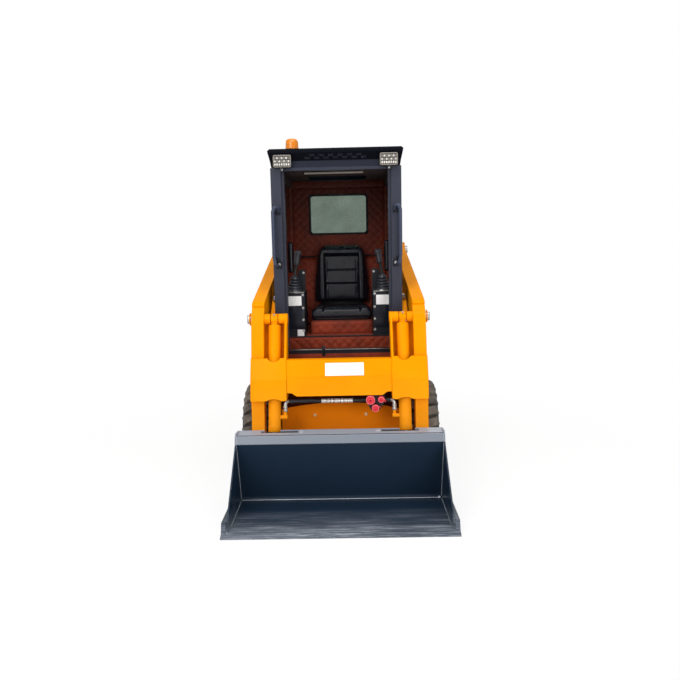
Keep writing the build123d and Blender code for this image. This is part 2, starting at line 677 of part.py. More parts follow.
def cab_lining():
    """Padded lining on the rear wall, leaning forwards below its ledge, and on the sides."""
    x = CAB_X - 60.0
    face = CAB_REAR - PLATE
    ledge = LINING_LEDGE_Z
    t = LINING_T
    outline = [
        (face, EAVES_Z - 52.0), (face - t, EAVES_Z - 52.0), (face - t, ledge),
        (face - 55.0, ledge - 15.0), (face - 55.0, ledge - 35.0), (face - 104.0, STEP_Z),
        (face - 92.0, STEP_Z), (face, ledge - 40.0),
    ]
    lining = side_plate(outline, -x, x) - rear_pane(TRIM_T, face - 2 * t, face)
    save("cab_lining", lining)
    wall_in = CAB_X - CAB_WALL
    y1 = CAB_REAR - 60.0
    z0 = SIDE_OPEN_Z[0] - 30.0
    side = [
        (CONSOLE_Y[0], STEP_Z), (y1, STEP_Z), (y1, EAVES_Z - 50.0),
        (SIDE_OPEN_REAR + 30.0, EAVES_Z - 50.0), (SIDE_OPEN_REAR + 30.0, z0), (CONSOLE_Y[0], z0),
    ]
    save("side_linings", pair(side_plate(side, wall_in - t, wall_in)))


def seat():
    """Step across the cab, seat box on it, cushion and backrest."""
    wall = CAB_X - CAB_WALL
    y0, y1 = SEAT_BOX_Y
    base = box(-wall, wall, STEP_FRONT, y1, CHASSIS_TOP + PLATE, STEP_Z)
    left = SEAT_X - SEAT_HALF_W
    right = SEAT_X + SEAT_HALF_W
    base += box(left, right, y0, y1, STEP_Z, SEAT_BOX_Z)
    save("seat_box", base)
    top = SEAT_BOX_Z + CUSHION_T
    cushion = side_plate([
        (CUSHION_Y[0], SEAT_BOX_Z), (CUSHION_Y[1], SEAT_BOX_Z), (CUSHION_Y[1], top - 12.0),
        (CUSHION_Y[0] + 90.0, top - 4.0), (CUSHION_Y[0] + 20.0, top), (CUSHION_Y[0], top - 25.0),
    ], left, right)
    save("seat_cushion", cushion)
    back_y = CUSHION_Y[1] + 2.0
    outline = [
        (back_y, SEAT_BOX_Z), (y1 - 2.0, SEAT_BOX_Z), (y1 + 40.0, BACK_TOP_Z - 10.0),
        (y1 + 5.0, BACK_TOP_Z), (back_y + 33.0, BACK_TOP_Z - 10.0), (back_y, top + 20.0),
    ]
    back = side_plate(outline, SEAT_X - BACK_HALF_W, SEAT_X + BACK_HALF_W)
    save("seat_back", back)


def consoles():
    """Side consoles with their notched back plates, and the control levers in their boots."""
    x0, x1 = CONSOLE_X
    side = box(x0, x1, CONSOLE_Y[0], CONSOLE_Y[1], STEP_Z, CONSOLE_Z)
    notch = (x0 + x1) / 2
    plate = [
        (x0, CONSOLE_Z), (x1, CONSOLE_Z), (x1, CONSOLE_Z + 40.0), (notch, CONSOLE_Z + 90.0),
        (notch - 14.0, CONSOLE_BACK_Z), (x0, CONSOLE_BACK_Z),
    ]
    side += front_plate(plate, CONSOLE_BACK_Y, CONSOLE_BACK_Y + SHEET)
    save("consoles", pair(side))
    low = (Align.CENTER, Align.CENTER, Align.MIN)
    x, y = LEVER_AT
    tip = LEVER_TIP
    boot = Pos(x, y, CONSOLE_Z) * Cone(BOOT_R[0], BOOT_R[1], BOOT_H, align=low)
    foot = Vector(x, y, CONSOLE_Z + BOOT_H - 12.0)
    run = Vector(*tip) - foot
    stem = Plane(origin=foot, z_dir=run) * Cylinder(9.0, run.length - 20.0, align=low)
    grip = Plane(origin=Vector(*tip) - run.normalized() * 92.0, z_dir=run) * Cone(13.0, 19.0, 92.0, align=low)
    save("control_levers", pair(boot + stem + grip))


def cab_trim():
    """Armrests folded up beside the seat, and grab handles in front of the posts."""
    pad = box(327.0, 366.0, 330.0, 400.0, 1290.0, 1520.0)
    save("armrests", pad_pair(pad))
    z0, z1 = HANDLE_Z
    out = POST_FRONT - HANDLE_OUT
    path = FilletPolyline(
        (HANDLE_X, POST_FRONT, z0), (HANDLE_X, out, z0), (HANDLE_X, out, z1),
        (HANDLE_X, POST_FRONT, z1), radius=28.0)
    handle = sweep(Plane(path @ 0, z_dir=path % 0) * Circle(HANDLE_R), path)
    save("grab_handles", pair(handle))


def pad_pair(pad):
    """Armrest pads with the bars that hold them to the rear posts."""
    return pair(pad + box(350.0, 366.0, 400.0, CAB_REAR - 60.0, 1300.0, 1322.0))


def lamps():
    """Work lamps under the visor, tail lamps beside the door, and the roof beacon."""
    z0, z1 = WORK_LAMP_Z
    foot, brow = VISOR_Z
    slope_y = HEADER_FRONT + (VISOR_FRONT - HEADER_FRONT) * (z1 - foot) / (brow - foot)
    housing = [
        (VISOR_FRONT - 4.0, z0), (VISOR_FRONT - 4.0, z1), (slope_y, z1), (HEADER_FRONT, foot),
        (HEADER_FRONT, z0 + 4.0), (POST_FRONT, z0),
    ]
    x0, x1 = WORK_LAMP_X
    work = side_plate(housing, x0, x1)
    frame = 7.0
    work -= box(x0 + frame, x1 - frame, VISOR_FRONT - 4.0, VISOR_FRONT + 2.0, z0 + frame, z1 - frame)
    length, height, depth = TAIL_LAMP
    tail_y = CHASSIS_REAR - 15.0
    tail_z = HOOD_REAR_Z - 140.0
    tail = box(BODY_X, BODY_X + depth, tail_y - length, tail_y, tail_z, tail_z + height)
    save("lamps", pair(work) + pair(tail))
    x, y = BEACON_AT
    step = 12.0
    low = (Align.CENTER, Align.CENTER, Align.MIN)
    base_top = ROOF_Z + 14.0
    save("beacon_base", bar_z(BEACON_R + 4.0, x, y, ROOF_Z, base_top))
    dome = bar_z(BEACON_R, x, y, base_top, BEACON_TOP - step)
    dome += Pos(x, y, BEACON_TOP - step) * Cone(BEACON_R, BEACON_R - step, step, align=low)
    save("beacon_dome", dome)


# ---- arms -----------------------------------------------------------------------
def arm():
    """One arm: a straight leg, and an upper beam that closes in towards its pivot."""
    half_leg = LEG_D / 2
    front = half_leg + LEG_SWELL
    half_beam = BEAM_D / 2
    x0, x1 = ARM_X
    knee_at = 905.0
    leg = [
        along(FOOT, KNEE, -20.0, half_leg), along(FOOT, KNEE, 280.0, half_leg),
        along(FOOT, KNEE, 400.0, front), along(FOOT, KNEE, knee_at, front),
        along(KNEE, ARM_PIVOT, 40.0, half_beam), along(KNEE, ARM_PIVOT, 150.0, -half_beam),
        along(KNEE, FOOT, 150.0, half_leg), along(FOOT, KNEE, -20.0, -half_leg),
    ]
    body = side_plate(leg, x0, x1, [40.0, 80.0, 80.0, 46.0, 12.0, 20.0, 60.0, 40.0])
    beam = [
        along(KNEE, ARM_PIVOT, -14.0, half_beam - 8.0), along(KNEE, ARM_PIVOT, 30.0, half_beam),
        along(ARM_PIVOT, KNEE, 0.0, -half_beam + 6.0), along(ARM_PIVOT, KNEE, -46.0, 0.0),
        along(ARM_PIVOT, KNEE, 0.0, half_beam - 6.0), along(KNEE, ARM_PIVOT, 40.0, -half_beam),
    ]
    middle = (x0 + x1) / 2
    turn = Pos(middle, KNEE[0], 0) * Rot(0, 0, ARM_TAPER) * Pos(-middle, -KNEE[0], 0)
    body += turn * side_plate(beam, x0, x1, [8.0, 20.0, 30.0, 40.0, 30.0, 8.0])
    body += bar_x(PIVOT_BOSS_R, TOWER_IN_X + TOWER_T + FLAT_GAP, TOWER_OUT_X - FLAT_GAP, ARM_PIVOT)
    body += bar_x(FOOT_BOSS_R, x0 - 7.0, x1 + 7.0, FOOT)
    y, z = LIFT_EYE
    lug = [
        (y - 100.0, z + 104.0), (y - LIFT_LUG_R, z - 8.0), (y - 22.0, z - LIFT_LUG_R),
        (y + 22.0, z - LIFT_LUG_R), (y + LIFT_LUG_R, z - 8.0), (y + 120.0, z + 164.0),
    ]
    gap = EYE_W / 2 + FLAT_GAP
    for a in (LIFT_X - gap - LIFT_LUG_T, LIFT_X + gap):
        body += side_plate(lug, a, a + LIFT_LUG_T, [4.0, 20.0, 20.0, 20.0, 20.0, 4.0])
    gusset = GUSSET + [along(KNEE, FOOT, 240.0), KNEE, along(KNEE, ARM_PIVOT, 440.0)]
    body += side_plate(gusset, x0, x0 + GUSSET_T)
    for at in (ARM_PIVOT, FOOT):
        body -= bar_x(PIN_R + FIT_GAP, x0 - 60.0, x1 + 60.0, at)
    return body


def bracket():
    """Inner plate and bent cover that guard one tilt cylinder, with the cylinder's head pin."""
    x0, x1 = INNER_PLATE_X
    low = COVER_FACE[0]
    top = COVER_FACE[-1]
    hy, hz = TILT_HEAD
    r = TILT_HEAD_R
    plate = [
        low, PLATE_REAR[0], PLATE_REAR[1], (hy + r - 2.0, hz + r), (hy - r, hz + r),
        (hy - r, hz), top, COVER_FACE[1],
    ]
    body = side_plate(plate, x0, x1, [6.0, 6.0, 20.0, r - 4.0, r - 4.0, 20.0, 4.0, 10.0])
    cover = side_plate(backed(COVER_FACE, COVER_T), x1, COVER_OUT_X)
    cover -= bar_y(COVER_NOTCH_R, TILT_X, top[1] + 24.0, top[0] - 60.0, top[0] + 60.0)
    cover -= bar_y(2 * COVER_NOTCH_R, TILT_X, low[1] - 80.0, low[0] - 60.0, low[0] + 60.0)
    body += cover
    ends = [along(*PLATE_REAR, d) for d in BACK_PLATE]
    ends += [along(*PLATE_REAR, d, PLATE - 2.0) for d in reversed(BACK_PLATE)]
    body += side_plate(ends, x1, ARM_X[0] + 1.0)
    filler = [(y + COVER_T, z) for y, z in COVER_FACE]
    filler += [along(FOOT, KNEE, 672.0, 0.0), along(FOOT, KNEE, 420.0, 0.0)]
    body += side_plate(filler, ARM_X[0], ARM_X[1])
    gap = EYE_W / 2 + FLAT_GAP
    body += bar_x(r, TILT_X + gap, ARM_X[0] + 1.0, TILT_HEAD)
    body += bar_x(r, x0 - 4.0, TILT_X - gap, TILT_HEAD)
    body += bar_x(PIN_R, x1, ARM_X[0] + 1.0, TILT_HEAD)
    return body


def cross_beam():
    """Folded beam between the inner plates, its lower ends cut at a slant, with its label."""
    span = INNER_PLATE_X[0]
    beam = side_plate(backed(BEAM_FACE, BEAM_DEPTH), -span, span)
    length, height = BEAM_END_CUT
    low = BEAM_FACE[0]
    cut = [(span, low[1]), (span, low[1] + height), (span - 30.0, low[1] + height), (span - length, low[1])]
    beam -= pair(front_plate(cut, low[0] - 1.0, low[0] + BEAM_DEPTH + 1.0))
    save("cross_beam", beam)
    start, end = BEAM_FACE[1], BEAM_FACE[2]
    edge = [along(start, end, 18.0), along(start, end, 96.0)]
    plate = edge + [along(start, end, 96.0, LABEL_T), along(start, end, 18.0, LABEL_T)]
    save("label_plate", side_plate(plate, *LABEL_X))


def lift_arms():
    """Both arms with their brackets, and the steel heads of their pins."""
    right = arm() + bracket()
    save("arm_right", right)
    save("arm_left", mirrored(right))
    lug_x = LIFT_X + EYE_W / 2 + FLAT_GAP
    heads = pair(pin_head(PIN_R + 11.0, ARM_X[1], TILT_HEAD))
    heads += pair(bar_x(PIN_R + 6.0, lug_x + LIFT_LUG_T, lug_x + LIFT_LUG_T + 12.0, LIFT_EYE))
    save("arm_pins", heads)


# ---- cylinders ------------------------------------------------------------------
def barrel(length, radius, bore):
    """Cylinder barrel along +Z from its pin at the origin."""
    low = (Align.CENTER, Align.CENTER, Align.MIN)
    body = Pos(0, 0, NECK_L) * Cylinder(radius, length - NECK_L, align=low)
    body += Cylinder(NECK_R, NECK_L + 2.0, align=low)
    body += Rot(0, 90, 0) * Cylinder(BARREL_EYE_R, EYE_W)
    body -= Pos(0, 0, BORE_START) * Cylinder(bore, length, align=low)
    body -= Rot(0, 90, 0) * Cylinder(PIN_R + FIT_GAP, EYE_W + NECK_R)
    return body


def rod(length):
    """Piston rod along -Z from its eye at the origin."""
    body = Cylinder(ROD_R, length, align=(Align.CENTER, Align.CENTER, Align.MAX))
    body += Rot(0, 90, 0) * Cylinder(EYE_R, EYE_W)
    return body


def port(start, end):
    """Hose port on the inner side of the right tilt barrel, with the elbow that rises from it."""
    at = along(start, end, TILT_BARREL_L - PORT_BACK)
    mouth = Vector(*HOSE_ROUTE[-1])
    corner = mouth + (mouth - Vector(*HOSE_ROUTE[-2])).normalized() * ELBOW_REACH
    foot = Vector(corner.X, at[0], at[1])
    path = FilletPolyline(mouth, corner, foot, radius=ELBOW_BEND)
    elbow = sweep(Plane(path @ 0, z_dir=path % 0) * Circle(ELBOW_R), path)
    stub = bar_x(PORT_R, corner.X - PORT_R, TILT_X - TILT_BARREL_R + 3.0, at)
    return stub + elbow


def cylinders():
    """Lift and tilt cylinders, each a barrel and a rod."""
    reach = math.dist(LIFT_BASE, LIFT_EYE)
    tilt_eye = tilt_rod_eye()
    stroke = math.dist(TILT_HEAD, tilt_eye)
    # kind: base pin, rod pin, X, barrel length, barrel radius, rod length
    sets = {
        "lift": (LIFT_BASE, LIFT_EYE, LIFT_X, reach - LIFT_GLAND_GAP, LIFT_BARREL_R, reach - 70.0),
        "tilt": (TILT_HEAD, tilt_eye, TILT_X, TILT_BARREL_L, TILT_BARREL_R, stroke - 120.0),
    }
    for name, (base, eye, x, length, radius, rod_length) in sets.items():
        tube = on_line(base, eye, x, barrel(length, radius, ROD_R + FIT_GAP))
        if name == "tilt":
            tube += port(base, eye)
        stem = on_line(eye, base, x, Rot(180, 0, 0) * rod(rod_length))
        for side, shape_of in (("right", lambda s: s), ("left", mirrored)):
            save(f"{name}_barrel_{side}", shape_of(tube))
            save(f"{name}_rod_{side}", shape_of(stem))


def tilt_rod_eye():
    """Crank pin of the bucket's hitch."""
    angle = math.radians(TILT_CRANK_ANGLE)
    return (FOOT[0] + TILT_CRANK_R * math.cos(angle), FOOT[1] + TILT_CRANK_R * math.sin(angle))


# ---- hoses ----------------------------------------------------------------------
def hose(points):
    """Plain tube along a route, with arcs as large as its runs allow."""
    runs = [math.dist(a, b) for a, b in zip(points, points[1:])]
    radii = []
    for i in range(1, len(points) - 1):
        before = Vector(*points[i]) - Vector(*points[i - 1])
        after = Vector(*points[i + 1]) - Vector(*points[i])
        half_turn = math.radians(before.get_angle(after)) / 2
        radii.append(0.45 * min(runs[i - 1], runs[i]) / math.tan(half_turn))
    print("hose radii", [round(r) for r in radii])
    path = FilletPolyline(*points, radius=radii)
    return sweep(Plane(path @ 0, z_dir=path % 0) * Circle(HOSE_R), path)


def hoses():
    """Two hoses that join the tilt cylinders, their union, and the capped couplers."""
    left = [(HOSE_SHIFT - x if x == UNION_X[1] else -x, y, z) for x, y, z in HOSE_ROUTE]
    save("hoses", hose(HOSE_ROUTE) + hose(left))
    save("hose_union", bar_x(UNION_R, UNION_X[0], UNION_X[1], UNION_AT))
    low = BEAM_FACE[0][1]
    y0, y1 = COUPLER_Y
    xs = [x for x, z in COUPLERS]
    zs = [z for x, z in COUPLERS]
    plate = [
        (min(xs) - 22.0, low), (min(xs) - 22.0, max(zs) - 20.0), (COUPLERS[2][0] - 24.0, min(zs) - 20.0),
        (COUPLERS[2][0] + 24.0, min(zs) - 20.0), (max(xs) + 22.0, max(zs) - 20.0), (max(xs) + 22.0, low),
    ]
    bracket_plate = front_plate(plate, y1, y1 + BRACKET_T)
    caps = []
    for x, z in COUPLERS:
        bracket_plate += bar_y(COUPLER_R, x, z, y0, y1)
        caps.append(bar_y(CAP_R, x, z, y0 - CAP_T, y0))
    save("coupler_bracket", bracket_plate)
    save("dust_caps", caps[0] + caps[1] + caps[2])


# ---- bucket ---------------------------------------------------------------------
def bucket():
    """Welded shell: floor and folded back, lip, cheeks, runners and cutting edge."""
    edge_rear = NOSE_Y + EDGE_L
    outer_top = BACK_TOP[0] + SKIN
    floor = [
        (edge_rear - 18.0, 0.0), (FOLD_Y + 10.0, 0.0), (outer_top, BACK_TOP[1]), BACK_TOP,
        (FOLD_Y, SKIN), (edge_rear - 18.0, SKIN),
    ]
    inner = BUCKET_X - SKIN
    shell = side_plate(floor, -inner, inner, [0.0, FOLD_R + SKIN, 0.0, 0.0, FOLD_R, 0.0])
    lip = [
        BACK_TOP, LIP_LOW, LIP_TOP, (HITCH_Y - PLATE, LIP_Z), (HITCH_Y, LIP_Z),
        (HITCH_Y, LIP_Z - SKIN), (HITCH_Y - PLATE, LIP_Z - SKIN),
        (LIP_TOP[0] + 5.0, LIP_TOP[1] - SKIN), (outer_top, LIP_LOW[1] + 5.0), (outer_top, BACK_TOP[1]),
    ]
    shell += side_plate(lip, -inner, inner)
    shell -= pair(box(*LIP_SLOT_X, *LIP_SLOT_Y, LIP_Z - 24.0, LIP_Z))
    shell -= pair(notches())
    front_y = NOSE_Y + 60.0
    cheek = [
        (NOSE_Y + 40.0, 10.0), (front_y, 60.0), (LIP_LOW[0] - 4.0, LIP_LOW[1] - 10.0),
        (LIP_TOP[0] - 4.0, LIP_Z + 10.0), (HITCH_Y, LIP_Z), (HITCH_Y, 40.0), (FOLD_Y - 20.0, 0.0),
        (front_y, 0.0),
    ]
    shell += pair(side_plate(cheek, inner, BUCKET_X, [2.0, 12.0, 30.0, 12.0, 6.0, 10.0, 20.0, 2.0]))
    edge = [
        (NOSE_Y, 0.0), (edge_rear, 0.0), (edge_rear, EDGE_T), (NOSE_Y + 26.0, EDGE_T), (NOSE_Y, 4.0),
    ]
    shell += side_plate(edge, -EDGE_X, EDGE_X)
    runner = [
        (NOSE_Y + 24.0, 0.0), (FOLD_Y - 30.0, 0.0), (FOLD_Y - 20.0, 20.0),
        (FOLD_Y - 20.0, RUNNER_H), (NOSE_Y + 50.0, RUNNER_H),
    ]
    shell += pair(side_plate(runner, BUCKET_X, EDGE_X))
    save("bucket", shell)


def notches():
    """Room in the lip and the plate behind it for a tilt cylinder, wide for its barrel."""
    shape = None
    for half, depth, low in (BARREL_NOTCH, ROD_NOTCH):
        cut = box(TILT_X - half, TILT_X + half, HITCH_Y - depth, HITCH_Y, low, LIP_Z + 20.0)
        shape = cut if shape is None else shape + cut
    return shape


def hitch():
    """Plate behind the bucket with ears for the leg pins and the rod eyes."""
    inner = BUCKET_X - SKIN
    plate = box(-inner, inner, HITCH_Y - PLATE, HITCH_Y, HITCH_LOW, LIP_Z - SKIN)
    plate -= pair(notches())
    eye = tilt_rod_eye()
    y, z = FOOT
    ear = [
        (HITCH_Y, HITCH_LOW + 10.0), (y - 10.0, z - 44.0), (y + 44.0, z - 30.0), (y + 38.0, z + 30.0),
        (eye[0] + 30.0, eye[1] + 30.0), (HITCH_Y, eye[1] + 50.0),
    ]
    ears = [side_plate(ear, a, b, [4.0, 30.0, 34.0, 30.0, 24.0, 4.0]) for a, b in EAR_PLATES]
    body = joined(ears)
    body += bar_x(PIN_R, EAR_PLATES[1][1], EAR_PLATES[2][0], FOOT)
    body += bar_x(24.0, EAR_PLATES[2][1], EAR_PLATES[2][1] + 14.0, FOOT)
    body += bar_x(22.0, EAR_PLATES[0][0] - PLATE, EAR_PLATES[0][0], eye)
    save("hitch_plate", plate + pair(body))


wheels()
axle_tubes()
chassis_frame()
front_panel()
body_sides()
hood()
towers()
rear_door()
bumper()
engine()
cab_frame()
cab_floor()
cab_roof()
rear_wall()
windows()
side_screens()
cab_lining()
seat()
consoles()
cab_trim()
lamps()
lift_arms()
cross_beam()
cylinders()
hoses()
bucket()
hitch()
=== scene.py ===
import json
import math

import bpy
from mathutils import Matrix, Vector


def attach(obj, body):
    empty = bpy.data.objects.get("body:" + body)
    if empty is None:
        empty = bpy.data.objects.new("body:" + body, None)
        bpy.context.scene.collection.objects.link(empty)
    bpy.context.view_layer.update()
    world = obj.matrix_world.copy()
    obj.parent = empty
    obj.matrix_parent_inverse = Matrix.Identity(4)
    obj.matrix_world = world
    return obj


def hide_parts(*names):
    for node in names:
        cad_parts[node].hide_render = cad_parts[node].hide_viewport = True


bl_info = {
    "name": "Skid Steer Loader",
    "version": (1, 0, 0),
    "blender": (4, 5, 0),
    "location": "View3D > Sidebar > Loader",
    "description": "Dresses the skid steer loader with finished pieces, materials and a plain studio",
    "category": "Object",
}

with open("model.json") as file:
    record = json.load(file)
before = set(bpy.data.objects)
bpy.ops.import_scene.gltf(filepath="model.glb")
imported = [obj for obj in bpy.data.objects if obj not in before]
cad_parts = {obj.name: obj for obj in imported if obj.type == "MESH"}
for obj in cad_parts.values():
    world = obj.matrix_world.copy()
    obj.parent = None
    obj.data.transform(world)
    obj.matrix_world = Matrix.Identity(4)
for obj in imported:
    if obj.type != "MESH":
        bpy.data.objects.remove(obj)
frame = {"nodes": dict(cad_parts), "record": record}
NODES = frame["nodes"]
SLOTS = {part["node"]: part["material_slot"] for part in frame["record"]["subparts"]}
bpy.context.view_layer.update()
MM = 0.001
FINISH = {}                          # materials by the record's slot, filled by the paint operator

# Places shared by several pieces, in millimetres: X across, -Y forwards, Z up.
WHEELS = {
    "front_left": (-510.0, -180.0, 300.0), "front_right": (510.0, -180.0, 300.0),
    "rear_left": (-510.0, 580.0, 300.0), "rear_right": (510.0, 580.0, 300.0),
}
SIDES = (("left", -1), ("right", 1))


# ---- colour and shader helpers --------------------------------------------------
def linear(code):
    """Linear RGBA of an sRGB hex colour such as 'ffa50a'."""
    parts = [int(code[i:i + 2], 16) / 255.0 for i in (0, 2, 4)]
    flat = [c / 12.92 if c <= 0.04045 else ((c + 0.055) / 1.055) ** 2.4 for c in parts]
    return (*flat, 1.0)


def add(tree, kind, links=(), values=(), **settings):
    """Add one shader node with its settings, its sockets' values and the links into it."""
    node = tree.nodes.new(kind)
    for key, value in settings.items():
        setattr(node, key, value)
    for socket, value in values:
        node.inputs[socket].default_value = value
    for socket, source in links:
        tree.links.new(source, node.inputs[socket])
    return node


def plain(name, colour, roughness=0.5, metallic=0.0):
    """Material with its principled shader set, ready for its pattern."""
    mat = bpy.data.materials.new(name)
    mat.use_nodes = True
    shader = mat.node_tree.nodes["Principled BSDF"]
    shader.inputs["Base Color"].default_value = linear(colour)
    shader.inputs["Roughness"].default_value = roughness
    shader.inputs["Metallic"].default_value = metallic
    return mat, mat.node_tree, shader


def worn_enamel(name, colour, bare, roughness=0.32, wear=0.6, dust=0.5, peel=0.04, gloss=0.16):
    """Sprayed enamel on steel: orange peel, rubbed edges, a little dust near the ground."""
    mat, tree, shader = plain(name, colour, roughness)
    place = add(tree, "ShaderNodeTexCoord").outputs["Object"]
    # broad unevenness of the coat, patches about 0.3 m across
    cloud = add(tree, "ShaderNodeTexNoise", links=(("Vector", place),),
                values=(("Scale", 3.3), ("Detail", 3.0), ("Roughness", 0.55)))
    tone = add(tree, "ShaderNodeMapRange", links=(("Value", cloud.outputs["Fac"]),),
               values=(("From Min", 0.3), ("From Max", 0.7), ("To Min", 0.93), ("To Max", 1.04)))
    base = add(tree, "ShaderNodeVectorMath", operation="SCALE", values=((0, linear(colour)[:3]),),
               links=(("Scale", tone.outputs["Result"]),))
    # edges: where a 3 mm rounding turns the surface away from its own face
    rounded = add(tree, "ShaderNodeBevel", samples=4, values=(("Radius", 3.0 * MM),))
    face = add(tree, "ShaderNodeNewGeometry")
    agree = add(tree, "ShaderNodeVectorMath", operation="DOT_PRODUCT",
                links=((0, rounded.outputs["Normal"]), (1, face.outputs["Normal"])))
    chips = add(tree, "ShaderNodeTexNoise", links=(("Vector", place),),
                values=(("Scale", 38.0), ("Detail", 5.0), ("Roughness", 0.7)))
    edge = add(tree, "ShaderNodeMapRange", links=(("Value", agree.outputs["Value"]),),
               values=(("From Min", 0.995), ("From Max", 0.90), ("To Min", 0.0), ("To Max", 1.0)))
    patchy = add(tree, "ShaderNodeMapRange", links=(("Value", chips.outputs["Fac"]),),
                 values=(("From Min", 0.52), ("From Max", 0.66), ("To Min", 0.0), ("To Max", wear)))
    rubbed = add(tree, "ShaderNodeMath", operation="MULTIPLY",
                 links=((0, edge.outputs["Result"]), (1, patchy.outputs["Result"])))
    coat = add(tree, "ShaderNodeMix", data_type="RGBA", values=((7, linear(bare)),),
               links=((0, rubbed.outputs["Value"]), (6, base.outputs["Vector"])))
    # road dust, thinning out over the lowest 0.7 m
    height = add(tree, "ShaderNodeSeparateXYZ", links=(("Vector", place),))
    low = add(tree, "ShaderNodeMapRange", links=(("Value", height.outputs["Z"]),),
              values=(("From Min", 0.75), ("From Max", 0.05), ("To Min", 0.0), ("To Max", dust)))
    spots = add(tree, "ShaderNodeTexNoise", links=(("Vector", place),),
                values=(("Scale", 11.0), ("Detail", 6.0), ("Roughness", 0.68)))
    film = add(tree, "ShaderNodeMath", operation="MULTIPLY",
               links=((0, low.outputs["Result"]), (1, spots.outputs["Fac"])))
    dusty = add(tree, "ShaderNodeMix", data_type="RGBA", values=((7, linear("9a8f7e")),),
                links=((0, film.outputs["Value"]), (6, coat.outputs[2])))
    tree.links.new(dusty.outputs[2], shader.inputs["Base Color"])
    matt = add(tree, "ShaderNodeMapRange", links=(("Value", film.outputs["Value"]),),
               values=(("From Min", 0.0), ("From Max", 0.5), ("To Min", roughness), ("To Max", 0.75)))
    tree.links.new(matt.outputs["Result"], shader.inputs["Roughness"])
    # orange peel: 4 mm ripples in the coat
    peeled = add(tree, "ShaderNodeTexNoise", links=(("Vector", place),),
                 values=(("Scale", 1.0 / (4.0 * MM)), ("Detail", 1.0)))
    bump = add(tree, "ShaderNodeBump", values=(("Strength", peel), ("Distance", 0.5 * MM)),
               links=(("Height", peeled.outputs["Fac"]), ("Normal", rounded.outputs["Normal"])))
    tree.links.new(bump.outputs["Normal"], shader.inputs["Normal"])
    shader.inputs["Specular IOR Level"].default_value = gloss
    shader.inputs["Coat Weight"].default_value = 0.05
    shader.inputs["Coat Roughness"].default_value = 0.12
    return mat


def grained(name, colour, other, grain_mm, roughness, strength, metallic=0.0, gloss=0.5):
    """Material with two close tones and a fine bump, both from noise of one grain size."""
    mat, tree, shader = plain(name, colour, roughness, metallic)
    place = add(tree, "ShaderNodeTexCoord").outputs["Object"]
    shader.inputs["Specular IOR Level"].default_value = gloss
    grain = add(tree, "ShaderNodeTexNoise", links=(("Vector", place),),
                values=(("Scale", 1.0 / (grain_mm * MM)), ("Detail", 3.0), ("Roughness", 0.6)))
    broad = add(tree, "ShaderNodeTexNoise", links=(("Vector", place),),
                values=(("Scale", 9.0), ("Detail", 4.0), ("Roughness", 0.6)))
    amount = add(tree, "ShaderNodeMath", operation="MULTIPLY",
                 links=((0, grain.outputs["Fac"]), (1, broad.outputs["Fac"])))
    spread = add(tree, "ShaderNodeMapRange", links=(("Value", amount.outputs["Value"]),),
                 values=(("From Min", 0.12), ("From Max", 0.42)))
    tones = add(tree, "ShaderNodeMix", data_type="RGBA",
                values=((6, linear(colour)), (7, linear(other))),
                links=((0, spread.outputs["Result"]),))
    tree.links.new(tones.outputs[2], shader.inputs["Base Color"])
    bump = add(tree, "ShaderNodeBump", values=(("Strength", strength), ("Distance", 1.0 * MM)),
               links=(("Height", grain.outputs["Fac"]),))
    tree.links.new(bump.outputs["Normal"], shader.inputs["Normal"])
    return mat


# ---- modelling helpers ----------------------------------------------------------
def fresh():
    """Leave edit mode with nothing selected."""
    if bpy.context.object and bpy.context.object.mode == "EDIT":
        bpy.ops.object.mode_set(mode="OBJECT")
    bpy.ops.object.select_all(action="DESELECT")


def pick(obj):
    """Make the object the only selected one."""
    fresh()
    obj.select_set(True)
    bpy.context.view_layer.objects.active = obj
    return obj


def soften(obj, width, segments=2, angle=30.0):
    """Round every edge sharper than the angle, by a width in millimetres."""
    pick(obj)
    mod = obj.modifiers.new("rounded edges", "BEVEL")
    mod.width = width * MM
    mod.segments = segments
    mod.limit_method = "ANGLE"
    mod.angle_limit = math.radians(angle)
    bpy.ops.object.modifier_apply(modifier=mod.name)
    return obj


def block(x, y, z, round_by=1.0, segments=2):
    """Block between pairs of bounds, its edges rounded."""
    fresh()
    bounds = (x, y, z)
    bpy.ops.mesh.primitive_cube_add(size=1.0, location=[(a + b) / 2 * MM for a, b in bounds],
                                    scale=[abs(b - a) * MM for a, b in bounds])
    obj = bpy.context.object
    bpy.ops.object.transform_apply(location=True, rotation=True, scale=True)
    bpy.ops.object.mode_set(mode="EDIT")
    bpy.ops.mesh.select_all(action="SELECT")
    bpy.ops.mesh.bevel(offset=round_by * MM, segments=segments, affect="EDGES")
    bpy.ops.object.mode_set(mode="OBJECT")
    return obj


def plate(points, axis, start, end, round_by=0.8, segments=2):
    """Plate with an outline in the plane across an axis, extruded along it from start to end."""
    fresh()
    bpy.ops.mesh.primitive_circle_add(vertices=len(points), radius=1.0, fill_type="NGON")
    obj = bpy.context.object
    first, second, third = {"X": (1, 2, 0), "Y": (0, 2, 1), "Z": (0, 1, 2)}[axis]
    for vert, point in zip(obj.data.vertices, points):
        vert.co[first] = point[0] * MM
        vert.co[second] = point[1] * MM
        vert.co[third] = start * MM
    move = [0.0, 0.0, 0.0]
    move[third] = (end - start) * MM
    bpy.ops.object.mode_set(mode="EDIT")
    bpy.ops.mesh.select_all(action="SELECT")
    bpy.ops.mesh.extrude_region_move(TRANSFORM_OT_translate={"value": move})
    bpy.ops.mesh.select_all(action="SELECT")
    bpy.ops.mesh.normals_make_consistent(inside=False)
    bpy.ops.object.mode_set(mode="OBJECT")
    return soften(obj, round_by, segments) if round_by else obj


